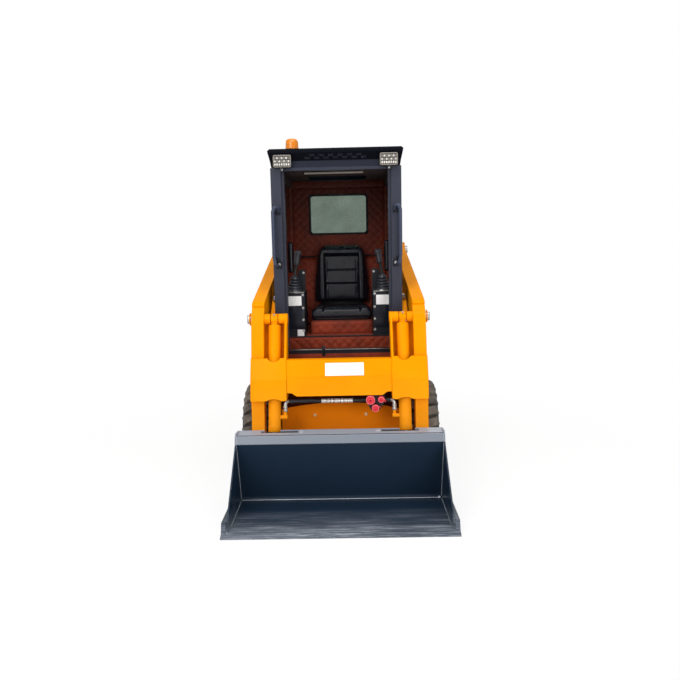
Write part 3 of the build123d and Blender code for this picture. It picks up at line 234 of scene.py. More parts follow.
def turned(profile, place, direction, steps=40):
    """Turned piece: (distance, radius) points spun about a line through place."""
    fresh()
    bpy.ops.mesh.primitive_circle_add(vertices=len(profile), radius=1.0, fill_type="NOTHING")
    obj = bpy.context.object
    for vert, (distance, radius) in zip(obj.data.vertices, profile):
        vert.co = (radius * MM, 0.0, distance * MM)
    bpy.ops.object.mode_set(mode="EDIT")
    bpy.ops.mesh.select_all(action="SELECT")
    bpy.ops.mesh.spin(steps=steps, angle=math.tau, center=(0, 0, 0), axis=(0, 0, 1))
    bpy.ops.mesh.select_all(action="SELECT")
    bpy.ops.mesh.remove_doubles(threshold=0.005 * MM)
    bpy.ops.mesh.delete_loose(use_verts=True, use_edges=True, use_faces=False)
    bpy.ops.mesh.select_all(action="SELECT")
    bpy.ops.mesh.normals_make_consistent(inside=False)
    bpy.ops.object.mode_set(mode="OBJECT")
    obj.data.transform(facing(place, direction))
    return obj


def facing(place, direction, roll=0.0):
    """Matrix that stands a piece drawn along +Z at a place, looking along a direction."""
    aim = Vector(direction).to_track_quat("Z", "Y").to_matrix().to_4x4()
    return Matrix.Translation(Vector(place) * MM) @ aim @ Matrix.Rotation(math.radians(roll), 4, "Z")


def tube(points, radius, radii=None, closed=False, sides=3):
    """Round bar through the points."""
    curve = bpy.data.curves.new("run", "CURVE")
    curve.dimensions = "3D"
    curve.bevel_depth = radius * MM
    curve.bevel_resolution = sides
    curve.use_fill_caps = not closed
    spline = curve.splines.new("POLY")
    spline.points.add(len(points) - 1)
    for i, point in enumerate(points):
        spline.points[i].co = (*(c * MM for c in point), 1.0)
        spline.points[i].radius = radii[i] if radii else 1.0
    spline.use_cyclic_u = closed
    obj = bpy.data.objects.new("run", curve)
    bpy.context.collection.objects.link(obj)
    pick(obj)
    bpy.ops.object.convert(target="MESH")
    return bpy.context.object


def bent(points, radius, steps=6):
    """The points of a bar with its corners bent to a radius."""
    line = [Vector(p) for p in points]
    out = [line[0]]
    for before, corner, after in zip(line, line[1:], line[2:]):
        a, b = (before - corner).normalized(), (after - corner).normalized()
        half = a.angle(b) / 2
        reach = radius / math.tan(half)
        start, end = corner + a * reach, corner + b * reach
        middle = corner + (a + b).normalized() * (radius / math.sin(half))
        for i in range(steps + 1):
            t = i / steps
            out.append(middle + ((start - middle).lerp(end - middle, t)).normalized() * radius)
    return [*out, line[-1]]


def bead(points, width, pitch=6.0):
    """Rippled weld bead along straight runs."""
    line = [Vector(p) for p in points]
    out = []
    for a, b in zip(line, line[1:]):
        count = max(2, int((b - a).length / pitch))
        out += [a.lerp(b, i / count) for i in range(count)]
    out.append(line[-1])
    return tube(out, width, radii=[1.0 if i % 2 else 0.78 for i in range(len(out))], sides=1)


def joined(parts):
    """The pieces as one object."""
    pick(parts[0])
    for part in parts[1:]:
        part.select_set(True)
    if len(parts) > 1:
        bpy.ops.object.join()
    return parts[0]


def placed(source, places):
    """One copy of a small piece at each place, each with its own mesh, joined to one object."""
    twins = []
    for place in places:
        twin = source.copy()
        twin.data = source.data.copy()
        twin.data.transform(place)
        bpy.context.collection.objects.link(twin)
        twins.append(twin)
    bpy.data.objects.remove(source)
    return joined(twins)


def across(obj):
    """A mirror image of the piece on the other side of the machine."""
    twin = obj.copy()
    twin.data = obj.data.copy()
    twin.data.transform(Matrix.Scale(-1.0, 4, (1.0, 0.0, 0.0)))
    twin.data.flip_normals()
    bpy.context.collection.objects.link(twin)
    return twin


def coated(obj, slot, smooth=35.0):
    """Give a piece the finish of a slot, and smooth shading between its sharp edges."""
    pick(obj)
    obj.data.materials.clear()
    obj.data.materials.append(FINISH[slot])
    bpy.ops.object.shade_smooth_by_angle(angle=math.radians(smooth))
    return obj


def done(obj, name, slot, body, coat=True, smooth=35.0):
    """Name a finished piece, coat it and let it ride on its body."""
    if coat:
        coated(obj, slot, smooth)
    obj.name = name
    obj.data.name = name
    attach(obj, body)
    return obj


def both(obj, name, slot, body, coat=True, smooth=35.0):
    """A finished piece on the right and its mirror image on the left, as one object."""
    return done(joined([obj, across(obj)]), name, slot, body, coat, smooth)


def hexagon(size, height=7.0, washer=1.35):
    """Hexagon bolt head on its washer, standing at the origin along +Z."""
    disc = turned([(0.0, 0.0), (0.0, size * washer), (2.0, size * washer), (2.0, 0.0)],
                  (0, 0, 0), (0, 0, 1), 14)
    fresh()
    bpy.ops.mesh.primitive_cylinder_add(vertices=6, radius=size * MM, depth=height * MM,
                                        location=(0, 0, (2.0 + height / 2) * MM))
    head = bpy.context.object
    bpy.ops.object.transform_apply(location=True, rotation=True, scale=True)
    soften(head, 0.8, 1)
    return joined([disc, head])


def bolts(places, direction, size, name, slot, body, height=7.0):
    """A set of equal bolts that look along one direction."""
    spots = [facing(place, direction, 17.0 * i) for i, place in enumerate(places)]
    return done(placed(hexagon(size, height), spots), name, slot, body)


# ---- settings -------------------------------------------------------------------
class LoaderColours(bpy.types.PropertyGroup):
    """Paint colours, as sRGB hex codes"""
    body: bpy.props.StringProperty(name="Body enamel", description="Arms and body", default="f09304")
    cab: bpy.props.StringProperty(name="Cab enamel", description="Cab frame and roof", default="323541")
    bucket: bpy.props.StringProperty(name="Bucket enamel", description="Bucket shell", default="1b2a3b")
    lining: bpy.props.StringProperty(name="Lining", description="Quilted cab lining", default="93381f")
    rim: bpy.props.StringProperty(name="Rims", description="Wheel discs", default="e2e2dc")


class LoaderSizes(bpy.types.PropertyGroup):
    """Sizes of the finished pieces"""
    lug_count: bpy.props.IntProperty(
        name="Lugs a side", description="Tread lugs on each side of a tyre", default=24, min=12, max=32)
    quilt: bpy.props.FloatProperty(
        name="Quilt pitch", description="Spacing of the lining's stitched rows", default=0.062,
        min=0.03, max=0.12, unit="LENGTH", subtype="DISTANCE")
    hose: bpy.props.FloatProperty(
        name="Hose diameter", description="Outer diameter of the hydraulic hoses", default=0.023,
        min=0.012, max=0.025, unit="LENGTH", subtype="DISTANCE")
    weld: bpy.props.FloatProperty(
        name="Weld width", description="Half width of a weld bead", default=0.004,
        min=0.002, max=0.008, unit="LENGTH", subtype="DISTANCE")


# ---- stage ----------------------------------------------------------------------
class LOADER_OT_stage(bpy.types.Operator):
    """Floor, soft studio lights and the camera"""
    bl_idname = "loader.stage"
    bl_label = "Stage"

    def execute(self, context):
        scene = context.scene
        scene.view_settings.view_transform = "Standard"
        fresh()
        bpy.ops.mesh.primitive_plane_add(size=60.0, location=(0.0, 0.0, 0.0))
        floor = context.object
        floor.name = "studio_floor"
        # white paint that fades to the backdrop's white beyond the object's shadow
        mat, tree, shader = plain("white studio floor paint", "ffffff", 0.7)
        shader.inputs["Specular IOR Level"].default_value = 0.0
        place = add(tree, "ShaderNodeTexCoord").outputs["Object"]
        reach = add(tree, "ShaderNodeVectorMath", operation="LENGTH", links=((0, place),))
        fade = add(tree, "ShaderNodeMapRange", links=(("Value", reach.outputs["Value"]),),
                   values=(("From Min", 1.3), ("From Max", 2.6), ("To Min", 0.8)))
        path = add(tree, "ShaderNodeLightPath")
        seen = add(tree, "ShaderNodeMath", operation="MULTIPLY",
                   links=((0, fade.outputs["Result"]), (1, path.outputs["Is Camera Ray"])))
        white = add(tree, "ShaderNodeEmission", values=(("Color", (1, 1, 1, 1)), ("Strength", 1.0)))
        blend = add(tree, "ShaderNodeMixShader", links=((0, seen.outputs["Value"]),
                    (1, shader.outputs["BSDF"]), (2, white.outputs["Emission"])))
        tree.links.new(blend.outputs["Shader"], tree.nodes["Material Output"].inputs["Surface"])
        floor.data.materials.append(mat)
        self.world(scene)
        lights = (
            ("key", (-2.6, -5.0, 3.4), 118.0, 3.0),
            ("fill", (2.6, -5.2, 1.5), 77.0, 3.0),
            ("top", (0.0, -1.6, 4.6), 82.0, 3.0),
            ("back", (0.5, 4.5, 4.5), 80.0, 4.0),
        )
        for name, place, watts, size in lights:
            data = bpy.data.lights.new(f"{name} softbox", "AREA")
            data.energy = watts
            data.size = size
            data.specular_factor = 0.0 if name in ("top", "back") else 1.0
            lamp = bpy.data.objects.new(f"{name}_softbox", data)
            scene.collection.objects.link(lamp)
            lamp.location = place
            aim = Vector((0.0, 0.0, 0.9)) - Vector(place)
            lamp.rotation_euler = aim.to_track_quat("-Z", "Y").to_euler()
        data = bpy.data.cameras.new("camera")
        data.sensor_width = 36.0
        data.lens = 34.41
        camera = bpy.data.objects.new("camera", data)
        scene.collection.objects.link(camera)
        camera.location = (0.069, -4.367, 1.489)
        look = Matrix.Rotation(math.radians(0.892), 4, "Z")
        look = look @ Matrix.Rotation(math.radians(90.0 - 8.342), 4, "X")
        look = look @ Matrix.Rotation(math.radians(-1.238), 4, "Z")
        camera.rotation_euler = look.to_euler()
        scene.camera = camera
        return {"FINISHED"}

    def world(self, scene):
        """White backdrop for the eye and in gloss and glass, a softer level as a light."""
        world = bpy.data.worlds.new("studio")
        scene.world = world
        world.use_nodes = True
        tree = world.node_tree
        path = add(tree, "ShaderNodeLightPath")
        seen = add(tree, "ShaderNodeMath", operation="MAXIMUM",
                   links=((0, path.outputs["Is Camera Ray"]), (1, path.outputs["Is Transmission Ray"])))
        level = add(tree, "ShaderNodeMapRange", links=(("Value", seen.outputs["Value"]),),
                    values=(("To Min", 0.52), ("To Max", 1.0)))
        back = tree.nodes["Background"]
        back.inputs["Color"].default_value = (1.0, 1.0, 1.0, 1.0)
        tree.links.new(level.outputs["Result"], back.inputs["Strength"])


# ---- finishes -------------------------------------------------------------------
class LOADER_OT_paint(bpy.types.Operator):
    """Make the finishes and give each carried-over part its own"""
    bl_idname = "loader.paint"
    bl_label = "Paint"

    def execute(self, context):
        hue = context.scene.loader_colours
        # sprayed gloss enamel over welded plate
        FINISH["body_orange"] = worn_enamel("sprayed orange enamel", hue.body, "8a6a3c", 0.4, 0.5, 0.16,
                                            gloss=0.0)
        FINISH["cab_paint"] = worn_enamel("sprayed slate enamel", hue.cab, "6d7078", 0.3, 0.5, 0.2)
        FINISH["floor_black"] = worn_enamel("satin black enamel", "1b1d23", "5a5a5c", 0.42, 0.6, 0.25)
        FINISH["screen_steel"] = worn_enamel("black dipped enamel", "1c1e26", "6a6a6c", 0.24, 0.6, 0.1)
        FINISH["engine_iron"] = worn_enamel("black painted iron", "2c2c2e", "6d5a48", 0.55, 0.7, 0.6)
        FINISH["rim_paint"] = worn_enamel("white wheel enamel", hue.rim, "7c746a", 0.4, 0.6, 0.9)
        FINISH["bucket_steel"] = self.bucket(hue.bucket)
        FINISH["quilted_lining"] = self.lining(hue.lining)
        # calendered vinyl over foam: pebbled grain about 1.5 mm across
        FINISH["seat_vinyl"] = self.vinyl()
        FINISH["black_plastic"] = grained("moulded black ABS", "0f1014", "17181d", 0.9, 0.5, 0.22)
        FINISH["lamp_housing"] = grained("moulded black housing", "141519", "1e1f24", 0.9, 0.42, 0.2)
        FINISH["blank_label"] = grained("blank white vinyl film", "f2f2f0", "dfdfdc", 6.0, 0.38, 0.02)
        FINISH["hose_rubber"] = self.hose()
        FINISH["red_plastic"] = grained("moulded red PVC", "e0263a", "c41a2c", 1.2, 0.35, 0.08)
        # rolled bare steel with fine grinding lines
        FINISH["pin_steel"] = grained("turned bare steel", "c6c6c2", "8c8a86", 2.5, 0.32, 0.08, 0.9)
        FINISH["bare_weld"] = grained("ground bare weld", "d2d6dc", "8f969f", 3.0, 0.42, 0.3, 0.25)
        FINISH["bright_zinc"] = grained("bright zinc plate", "f0f0ee", "c2c2be", 1.5, 0.28, 0.05, 0.5)
        # painted highlight: pale pink for the light on the red caps' rims
        FINISH["red_rim_highlight"] = grained("pale red PVC, painted highlight", "ee8a8e", "e2646c", 1.2, 0.3, 0.05)
        # plated rod, polished along its turning: nearly a mirror
        FINISH["rod_chrome"] = grained("hard chrome plate", "d6d8da", "bfc2c5", 0.6, 0.12, 0.01, 1.0)
        # painted shade: the carcass is darker than the dusty lugs, for the shade in the grooves between them
        FINISH["tyre_rubber"] = self.rubber("dark tyre rubber, painted groove shade", "1d1c1b", "4a453e")
        FINISH["tread_blocks"] = self.rubber("dusty tread rubber", "3d3a37", "7c746a")
        FINISH["boot_rubber"] = grained("moulded black rubber", "1e1f25", "42444d", 2.2, 0.28, 0.1)
        # dark brown felt, made darker still as painted shade under the roof
        FINISH["headliner"] = grained("dark brown felt, painted shade", "27130f", "1c0d0b", 1.2, 0.9, 0.2)
        FINISH["grab_bar"] = worn_enamel("glossy slate enamel", "3c4254", "9a9ca2", 0.14, 0.4, 0.0)
        # painted highlight: pale zinc, light enough to stand in for the highlights on the front panel's bolts
        FINISH["zinc"] = grained("pale zinc, painted highlight", "fbe0b4", "e8b878", 3.0, 0.35, 0.05, 0.2)
        # painted shadow: a dark sheet for the beam's shade over the top of the front sheet
        FINISH["shadow_sheet"] = grained("dark brown sheet, painted shadow", "2b0f08", "451a0d", 2.5, 0.8, 0.15, gloss=0.05)
        FINISH["blind"] = grained("pale woven blind", "958e85", "7a736b", 2.0, 0.7, 0.2)
        FINISH["lamp_cell"] = grained("clear moulded lamp cell", "dcd8d0", "bcb8b0", 2.0, 0.15, 0.05)
        FINISH["window_glass"] = self.glass()
        FINISH["amber_plastic"] = self.clear("clear amber polycarbonate", "f48e02", 0.25, 0.1)
        FINISH["lamp_lens"] = self.clear("ribbed clear polycarbonate", "8d8883", 0.3)
        FINISH["red_lens"] = self.clear("clear red polycarbonate", "c8141c", 0.35)
        # painted shade: the visor's pressing is painted darker than the posts, black for the shade on its
        # down-facing slope
        roof = self.roof("282b35")
        # painted shade: the bolted front sheet is painted a redder orange, for the shade it lies in under the
        # beam
        sheet = worn_enamel("deep orange enamel, painted shade", "ff8805", "8a5a34", 0.4, 0.5, 0.1, gloss=0.0)
        for name, obj in NODES.items():
            obj.data.materials.clear()
            finish = FINISH[SLOTS[name]]
            if name == "cab_roof":
                finish = roof
            # painted shade: the coupler bracket is painted black, for the shade around the caps
            elif name == "coupler_bracket":
                finish = FINISH["floor_black"]
            elif name == "front_panel":
                finish = sheet
            obj.data.materials.append(finish)
        return {"FINISHED"}

    def bucket(self, colour):
        """Dark enamel scoured off the floor and the cutting edge, with streaks along the width."""
        mat = worn_enamel("scoured dark enamel", colour, "8d949c", 0.28, 0.9, 0.0)
        tree = mat.node_tree
        shader = tree.nodes["Principled BSDF"]
        place = add(tree, "ShaderNodeTexCoord").outputs["Object"]
        axes = add(tree, "ShaderNodeSeparateXYZ", links=(("Vector", place),))
        # the load slides over the front of the floor, so the coat is thin there
        near = add(tree, "ShaderNodeMapRange", links=(("Value", axes.outputs["Y"]),),
                   values=(("From Min", -0.86), ("From Max", -1.12)))
        low = add(tree, "ShaderNodeMapRange", links=(("Value", axes.outputs["Z"]),),
                  values=(("From Min", 0.10), ("From Max", 0.02)))
        zone = add(tree, "ShaderNodeMath", operation="MULTIPLY",
                   links=((0, near.outputs["Result"]), (1, low.outputs["Result"])))
        # streaks about 15 mm by 0.4 m along the width, in broad worn bands
        laid = add(tree, "ShaderNodeMapping", links=(("Vector", place),), values=(("Scale", (4.5, 95, 95)),))
        streak = add(tree, "ShaderNodeTexNoise", links=(("Vector", laid.outputs["Vector"]),),
                     values=(("Scale", 1.0), ("Detail", 6.0), ("Roughness", 0.78)))
        wide = add(tree, "ShaderNodeMapping", links=(("Vector", place),), values=(("Scale", (1.7, 9, 9)),))
        scuff = add(tree, "ShaderNodeTexNoise", links=(("Vector", wide.outputs["Vector"]),),
                    values=(("Scale", 1.0), ("Detail", 3.0), ("Roughness", 0.5)))
        sharp = add(tree, "ShaderNodeMapRange", links=(("Value", streak.outputs["Fac"]),),
                    values=(("From Min", 0.5), ("From Max", 0.62)))
        patch = add(tree, "ShaderNodeMapRange", links=(("Value", scuff.outputs["Fac"]),),
                    values=(("From Min", 0.38), ("From Max", 0.60), ("To Min", 0.35)))
        marks = add(tree, "ShaderNodeMath", operation="MULTIPLY", values=((1, 0.62),),
                    links=((0, sharp.outputs["Result"]),))
        haze = add(tree, "ShaderNodeMath", operation="ADD", values=((1, 0.25),),
                   links=((0, marks.outputs["Value"]),))
        worn = add(tree, "ShaderNodeMath", operation="MULTIPLY",
                   links=((0, haze.outputs["Value"]), (1, patch.outputs["Result"])))
        amount = add(tree, "ShaderNodeMath", operation="MULTIPLY", use_clamp=True,
                     links=((0, zone.outputs["Value"]), (1, worn.outputs["Value"])))
        # a few faint scratches everywhere else
        rare = add(tree, "ShaderNodeMapRange", links=(("Value", streak.outputs["Fac"]),),
                   values=(("From Min", 0.70), ("From Max", 0.80), ("To Max", 0.3)))
        total = add(tree, "ShaderNodeMath", operation="MAXIMUM",
                    links=((0, amount.outputs["Value"]), (1, rare.outputs["Result"])))
        coat = shader.inputs["Base Color"].links[0].from_socket
        scoured = add(tree, "ShaderNodeMix", data_type="RGBA", values=((7, linear("aab0ba")),),
                      links=((0, total.outputs["Value"]), (6, coat)))
        # painted highlight: the lip above the back is painted pale grey, up to its top plate, for the light it
        # catches from above
        lip_lit_share = add(tree, "ShaderNodeMapRange", links=(("Value", axes.outputs["Z"]),),
                     values=(("From Min", 0.3755), ("From Max", 0.3775)))
        lip = add(tree, "ShaderNodeMix", data_type="RGBA", values=((7, linear("949ba6")),),
                  links=((0, lip_lit_share.outputs["Result"]), (6, scoured.outputs[2])))
        # painted shade: the lip's front face is painted darker than its flat top, which takes the light from
        # above
        flat = add(tree, "ShaderNodeMapRange", links=(("Value", axes.outputs["Z"]),),
                   values=(("From Min", 0.4185), ("From Max", 0.4195), ("To Min", 0.66)))
        lip_face_shade = add(tree, "ShaderNodeMix", data_type="FLOAT", values=((2, 1.0),),
                     links=((0, lip_lit_share.outputs["Result"]), (3, flat.outputs["Result"])))
        shaded = add(tree, "ShaderNodeVectorMath", operation="SCALE",
                     links=((0, lip.outputs[2]), ("Scale", lip_face_shade.outputs[0])))
        tree.links.new(shaded.outputs["Vector"], shader.inputs["Base Color"])
        return mat

    def lining(self, colour):
        """Brown vinyl lining, stitched to a thin wadding: fine leather grain, dull sheen."""
        mat = grained("stitched brown vinyl lining", colour, "63281a", 1.6, 0.5, 0.35)
        tree = mat.node_tree
        shader = tree.nodes["Principled BSDF"]
        shader.inputs["Sheen Weight"].default_value = 0.03
        shader.inputs["Specular IOR Level"].default_value = 0.15
        # painted shade: darker towards the roof, where less light reaches inside the cab
        place = add(tree, "ShaderNodeTexCoord").outputs["Object"]
        axes = add(tree, "ShaderNodeSeparateXYZ", links=(("Vector", place),))
        shade_towards_roof = add(tree, "ShaderNodeMapRange", links=(("Value", axes.outputs["Z"]),),
                   values=(("From Min", 1.2), ("From Max", 1.8), ("To Min", 0.95), ("To Max", 0.28)))
        tone = shader.inputs["Base Color"].links[0].from_socket
        shaded_lining = add(tree, "ShaderNodeVectorMath", operation="SCALE",
                    links=((0, tone), ("Scale", shade_towards_roof.outputs["Result"])))
        tree.links.new(shaded_lining.outputs["Vector"], shader.inputs["Base Color"])
        return mat

    def vinyl(self):
        """Pebbled black vinyl with slightly polished high spots."""
        mat, tree, shader = plain("pebbled black vinyl", "1a1b20", 0.4)
        shader.inputs["Specular IOR Level"].default_value = 0.4
        place = add(tree, "ShaderNodeTexCoord").outputs["Object"]
        pebble = add(tree, "ShaderNodeTexVoronoi", links=(("Vector", place),), values=(("Scale", 520.0),))
        soft = add(tree, "ShaderNodeTexNoise", links=(("Vector", place),),
                   values=(("Scale", 14.0), ("Detail", 4.0), ("Roughness", 0.6)))
        tone = add(tree, "ShaderNodeMix", data_type="RGBA", links=((0, soft.outputs["Fac"]),),
                   values=((6, linear("0d0e15")), (7, linear("181a24"))))
        rough = add(tree, "ShaderNodeMapRange", links=(("Value", soft.outputs["Fac"]),),
                    values=(("From Min", 0.3), ("From Max", 0.7), ("To Min", 0.26), ("To Max", 0.4)))
        bump = add(tree, "ShaderNodeBump", values=(("Strength", 0.25), ("Distance", 0.4 * MM)),
                   links=(("Height", pebble.outputs["Distance"]),))
        tree.links.new(tone.outputs[2], shader.inputs["Base Color"])
        tree.links.new(rough.outputs["Result"], shader.inputs["Roughness"])
        tree.links.new(bump.outputs["Normal"], shader.inputs["Normal"])
        return mat

    def hose(self):
        """Wrapped hose cover: cloth-wrap rings about 4 mm apart across its run."""
        mat, tree, shader = plain("cloth-wrapped black rubber", "15151a", 0.55)
        place = add(tree, "ShaderNodeTexCoord").outputs["Object"]
        rings = add(tree, "ShaderNodeTexWave", links=(("Vector", place),), bands_direction="DIAGONAL",
                    values=(("Scale", 90.0), ("Distortion", 1.2)))
        tone = add(tree, "ShaderNodeMix", data_type="RGBA", links=((0, rings.outputs["Fac"]),),
                   values=((6, linear("101014")), (7, linear("24242a"))))
        bump = add(tree, "ShaderNodeBump", values=(("Strength", 0.5), ("Distance", 0.6 * MM)),
                   links=(("Height", rings.outputs["Fac"]),))
        tree.links.new(tone.outputs[2], shader.inputs["Base Color"])
        tree.links.new(bump.outputs["Normal"], shader.inputs["Normal"])
        return mat

    def rubber(self, name, colour, dusty):
        """Tyre compound, greyed in patches by dust."""
        mat, tree, shader = plain(name, colour, 0.82)
        place = add(tree, "ShaderNodeTexCoord").outputs["Object"]
        dust = add(tree, "ShaderNodeTexNoise", links=(("Vector", place),),
                   values=(("Scale", 13.0), ("Detail", 7.0), ("Roughness", 0.7)))
        fine = add(tree, "ShaderNodeTexNoise", links=(("Vector", place),),
                   values=(("Scale", 420.0), ("Detail", 3.0)))
        share = add(tree, "ShaderNodeMapRange", links=(("Value", dust.outputs["Fac"]),),
                    values=(("From Min", 0.35), ("From Max", 0.68)))
        tone = add(tree, "ShaderNodeMix", data_type="RGBA", links=((0, share.outputs["Result"]),),
                   values=((6, linear(colour)), (7, linear(dusty))))
        bump = add(tree, "ShaderNodeBump", values=(("Strength", 0.35), ("Distance", 0.8 * MM)),
                   links=(("Height", fine.outputs["Fac"]),))
        tree.links.new(tone.outputs[2], shader.inputs["Base Color"])
        tree.links.new(bump.outputs["Normal"], shader.inputs["Normal"])
        return mat

    def glass(self):
        """Green-tinted safety glass, a little dusty, so it darkens what is behind it."""
        mat, tree, shader = plain("tinted safety glass", "8fa293", 0.06)
        shader.inputs["Transmission Weight"].default_value = 0.85
        shader.inputs["IOR"].default_value = 1.5
        place = add(tree, "ShaderNodeTexCoord").outputs["Object"]
        smear = add(tree, "ShaderNodeTexNoise", links=(("Vector", place),),
                    values=(("Scale", 6.0), ("Detail", 5.0), ("Roughness", 0.62)))
        tone = add(tree, "ShaderNodeMix", data_type="RGBA", links=((0, smear.outputs["Fac"]),),
                   values=((6, linear("4c5c50")), (7, linear("8c9c8e"))))
        tree.links.new(tone.outputs[2], shader.inputs["Base Color"])
        return mat

    def clear(self, name, colour, through, relief=0.3):
        """Moulded clear plastic: part of the light passes, the rest is scattered in its colour."""
        mat, tree, shader = plain(name, colour, 0.16)
        shader.inputs["Transmission Weight"].default_value = through
        shader.inputs["IOR"].default_value = 1.58
        place = add(tree, "ShaderNodeTexCoord").outputs["Object"]
        # optic ribs every 6 mm up the lens
        ribs = add(tree, "ShaderNodeTexWave", links=(("Vector", place),), bands_direction="X",
                   values=(("Scale", 52.0), ("Distortion", 0.0)))
        bump = add(tree, "ShaderNodeBump", values=(("Strength", relief), ("Distance", 1.0 * MM)),
                   links=(("Height", ribs.outputs["Fac"]),))
        tree.links.new(bump.outputs["Normal"], shader.inputs["Normal"])
        return mat

    def roof(self, colour):
        """Black enamel as painted shade on the visor's down-facing slope, with the header under the visor in
        slate.
        """
        mat = worn_enamel("black enamel, painted shade", "0c0e15", "45474c", 0.36, 0.4, 0.1, gloss=0.02)
        tree = mat.node_tree
        shader = tree.nodes["Principled BSDF"]
        place = add(tree, "ShaderNodeTexCoord").outputs["Object"]
        axes = add(tree, "ShaderNodeSeparateXYZ", links=(("Vector", place),))
        low = add(tree, "ShaderNodeMapRange", links=(("Value", axes.outputs["Z"]),),
                  values=(("From Min", 2.010), ("From Max", 2.007)))
        aside = add(tree, "ShaderNodeMath", operation="ABSOLUTE", links=((0, axes.outputs["X"]),))
        inner = add(tree, "ShaderNodeMapRange", links=(("Value", aside.outputs["Value"]),),
                    values=(("From Min", 0.388), ("From Max", 0.386)))
        share = add(tree, "ShaderNodeMath", operation="MULTIPLY",
                    links=((0, low.outputs["Result"]), (1, inner.outputs["Result"])))
        coat = shader.inputs["Base Color"].links[0].from_socket
        header = add(tree, "ShaderNodeMix", data_type="RGBA", values=((7, linear(colour)),),
                     links=((0, share.outputs["Value"]), (6, coat)))
        tree.links.new(header.outputs[2], shader.inputs["Base Color"])
        return mat


# ---- wheels ---------------------------------------------------------------------
class LOADER_OT_tyres(bpy.types.Operator):
    """Four lugged tyres"""
    bl_idname = "loader.tyres"
    bl_label = "Tyres"

    def execute(self, context):
        count = context.scene.loader_sizes.lug_count
        # (across, radius): bead, side wall with a rim guard, shoulder, crown
        half = [
            (91.0, 152.5), (91.0, 166.0), (99.0, 168.0), (103.0, 178.0), (101.5, 184.0), (104.5, 198.0),
            (107.5, 216.0), (107.0, 236.0), (101.0, 256.0), (88.0, 270.0), (60.0, 276.5), (0.0, 278.5),
        ]
        profile = [*half, *[(-x, r) for x, r in reversed(half[:-1])]]
        carcass = turned(profile, (0, 0, 0), (1, 0, 0), 72)
        # lug section across the tread, its flanks drawn in towards the top
        width = math.pi * 280.0 / count * 0.74
        lug = plate([(7.0, 266.0), (7.0, 296.2), (40.0, 297.2), (74.0, 295.5), (90.0, 288.0),
                     (105.5, 262.0), (108.0, 226.0), (99.0, 222.0), (84.0, 260.0)],
                    "Y", -width, width, 0.0)
        for vert in lug.data.vertices:
            radius = vert.co.z / MM
            vert.co.y *= 0.9 if radius > 285.0 else 0.8 if radius < 240.0 else 1.0
        soften(lug, 2.2, 2, 25.0)
        coated(lug, "tread_blocks")
        step = math.tau / count
        slant = Matrix.Rotation(math.radians(15.0), 4, "Z")
        right = [Matrix.Rotation(i * step, 4, "X") @ slant for i in range(count)]
        other = across(lug)
        left = [Matrix.Rotation((i + 0.5) * step, 4, "X") @ slant.inverted() for i in range(count)]
        tread = joined([placed(lug, right), placed(other, left)])
        # moulded rings on the side wall
        rings = []
        for side in (-1, 1):
            ring = turned([(0.0, 206.0), (1.6, 207.0), (1.6, 209.0), (0.0, 210.0)], (105.2 * side, 0, 0),
                          (side, 0, 0), 72)
            rings.append(ring)
        wall = coated(joined([carcass, *rings]), "tyre_rubber", 40.0)
        tyre = joined([wall, tread])
        for name, place in WHEELS.items():
            twin = tyre.copy()
            twin.data = tyre.data.copy()
            side = 0.0 if place[0] > 0 else math.pi
            twin.data.transform(Matrix.Translation(Vector(place) * MM) @ Matrix.Rotation(side, 4, "Z"))
            context.collection.objects.link(twin)
            done(twin, f"lugged_tyre_{name}", "tyre_rubber", f"wheel_{name}", coat=False)
            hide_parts(f"tyre_{name}")
        bpy.data.objects.remove(tyre)
        return {"FINISHED"}


class LOADER_OT_wheel_fittings(bpy.types.Operator):
    """Hub caps, wheel nuts, studs and valves"""
    bl_idname = "loader.wheel_fittings"
    bl_label = "Wheel fittings"

    def execute(self, context):
        for name, (x, y, z) in WHEELS.items():
            side = 1 if x > 0 else -1
            face = x + side * 12.0
            cap = turned([(0.0, 0.0), (0.0, 26.0), (9.0, 26.0), (13.0, 22.0), (15.0, 12.0), (15.5, 0.0)],
                         (face, y, z), (side, 0, 0), 36)
            coated(cap, "engine_iron")
            ring = turned([(0.0, 84.0), (3.0, 85.0), (3.0, 134.0), (0.0, 136.0)],
                          (x + side * 25.0, y, z), (side, 0, 0), 60)
            coated(ring, "rim_paint")
            spots = []
            for i in range(8):
                turn = math.tau * i / 8
                spot = (face, y + 42.0 * math.cos(turn), z + 42.0 * math.sin(turn))
                spots.append(facing(spot, (side, 0, 0), 23.0 * i))
            nut = joined([hexagon(7.5, 8.0, 1.3),
                          turned([(8.0, 0.0), (8.0, 4.0), (13.0, 4.0), (14.0, 3.0), (14.0, 0.0)],
                                 (0, 0, 0), (0, 0, 1), 12)])
            nuts = coated(placed(nut, spots), "pin_steel")
            stem = turned([(0.0, 0.0), (0.0, 4.5), (14.0, 3.5), (14.0, 2.8), (22.0, 2.8), (23.0, 0.0)],
                          (x + side * 25.0, y, z + 122.0), (side, 0, 0.4), 12)
            coated(stem, "black_plastic")
            done(joined([cap, ring, nuts, stem]), f"wheel_fittings_{name}", "rim_paint",
                 f"wheel_{name}", coat=False)
        return {"FINISHED"}


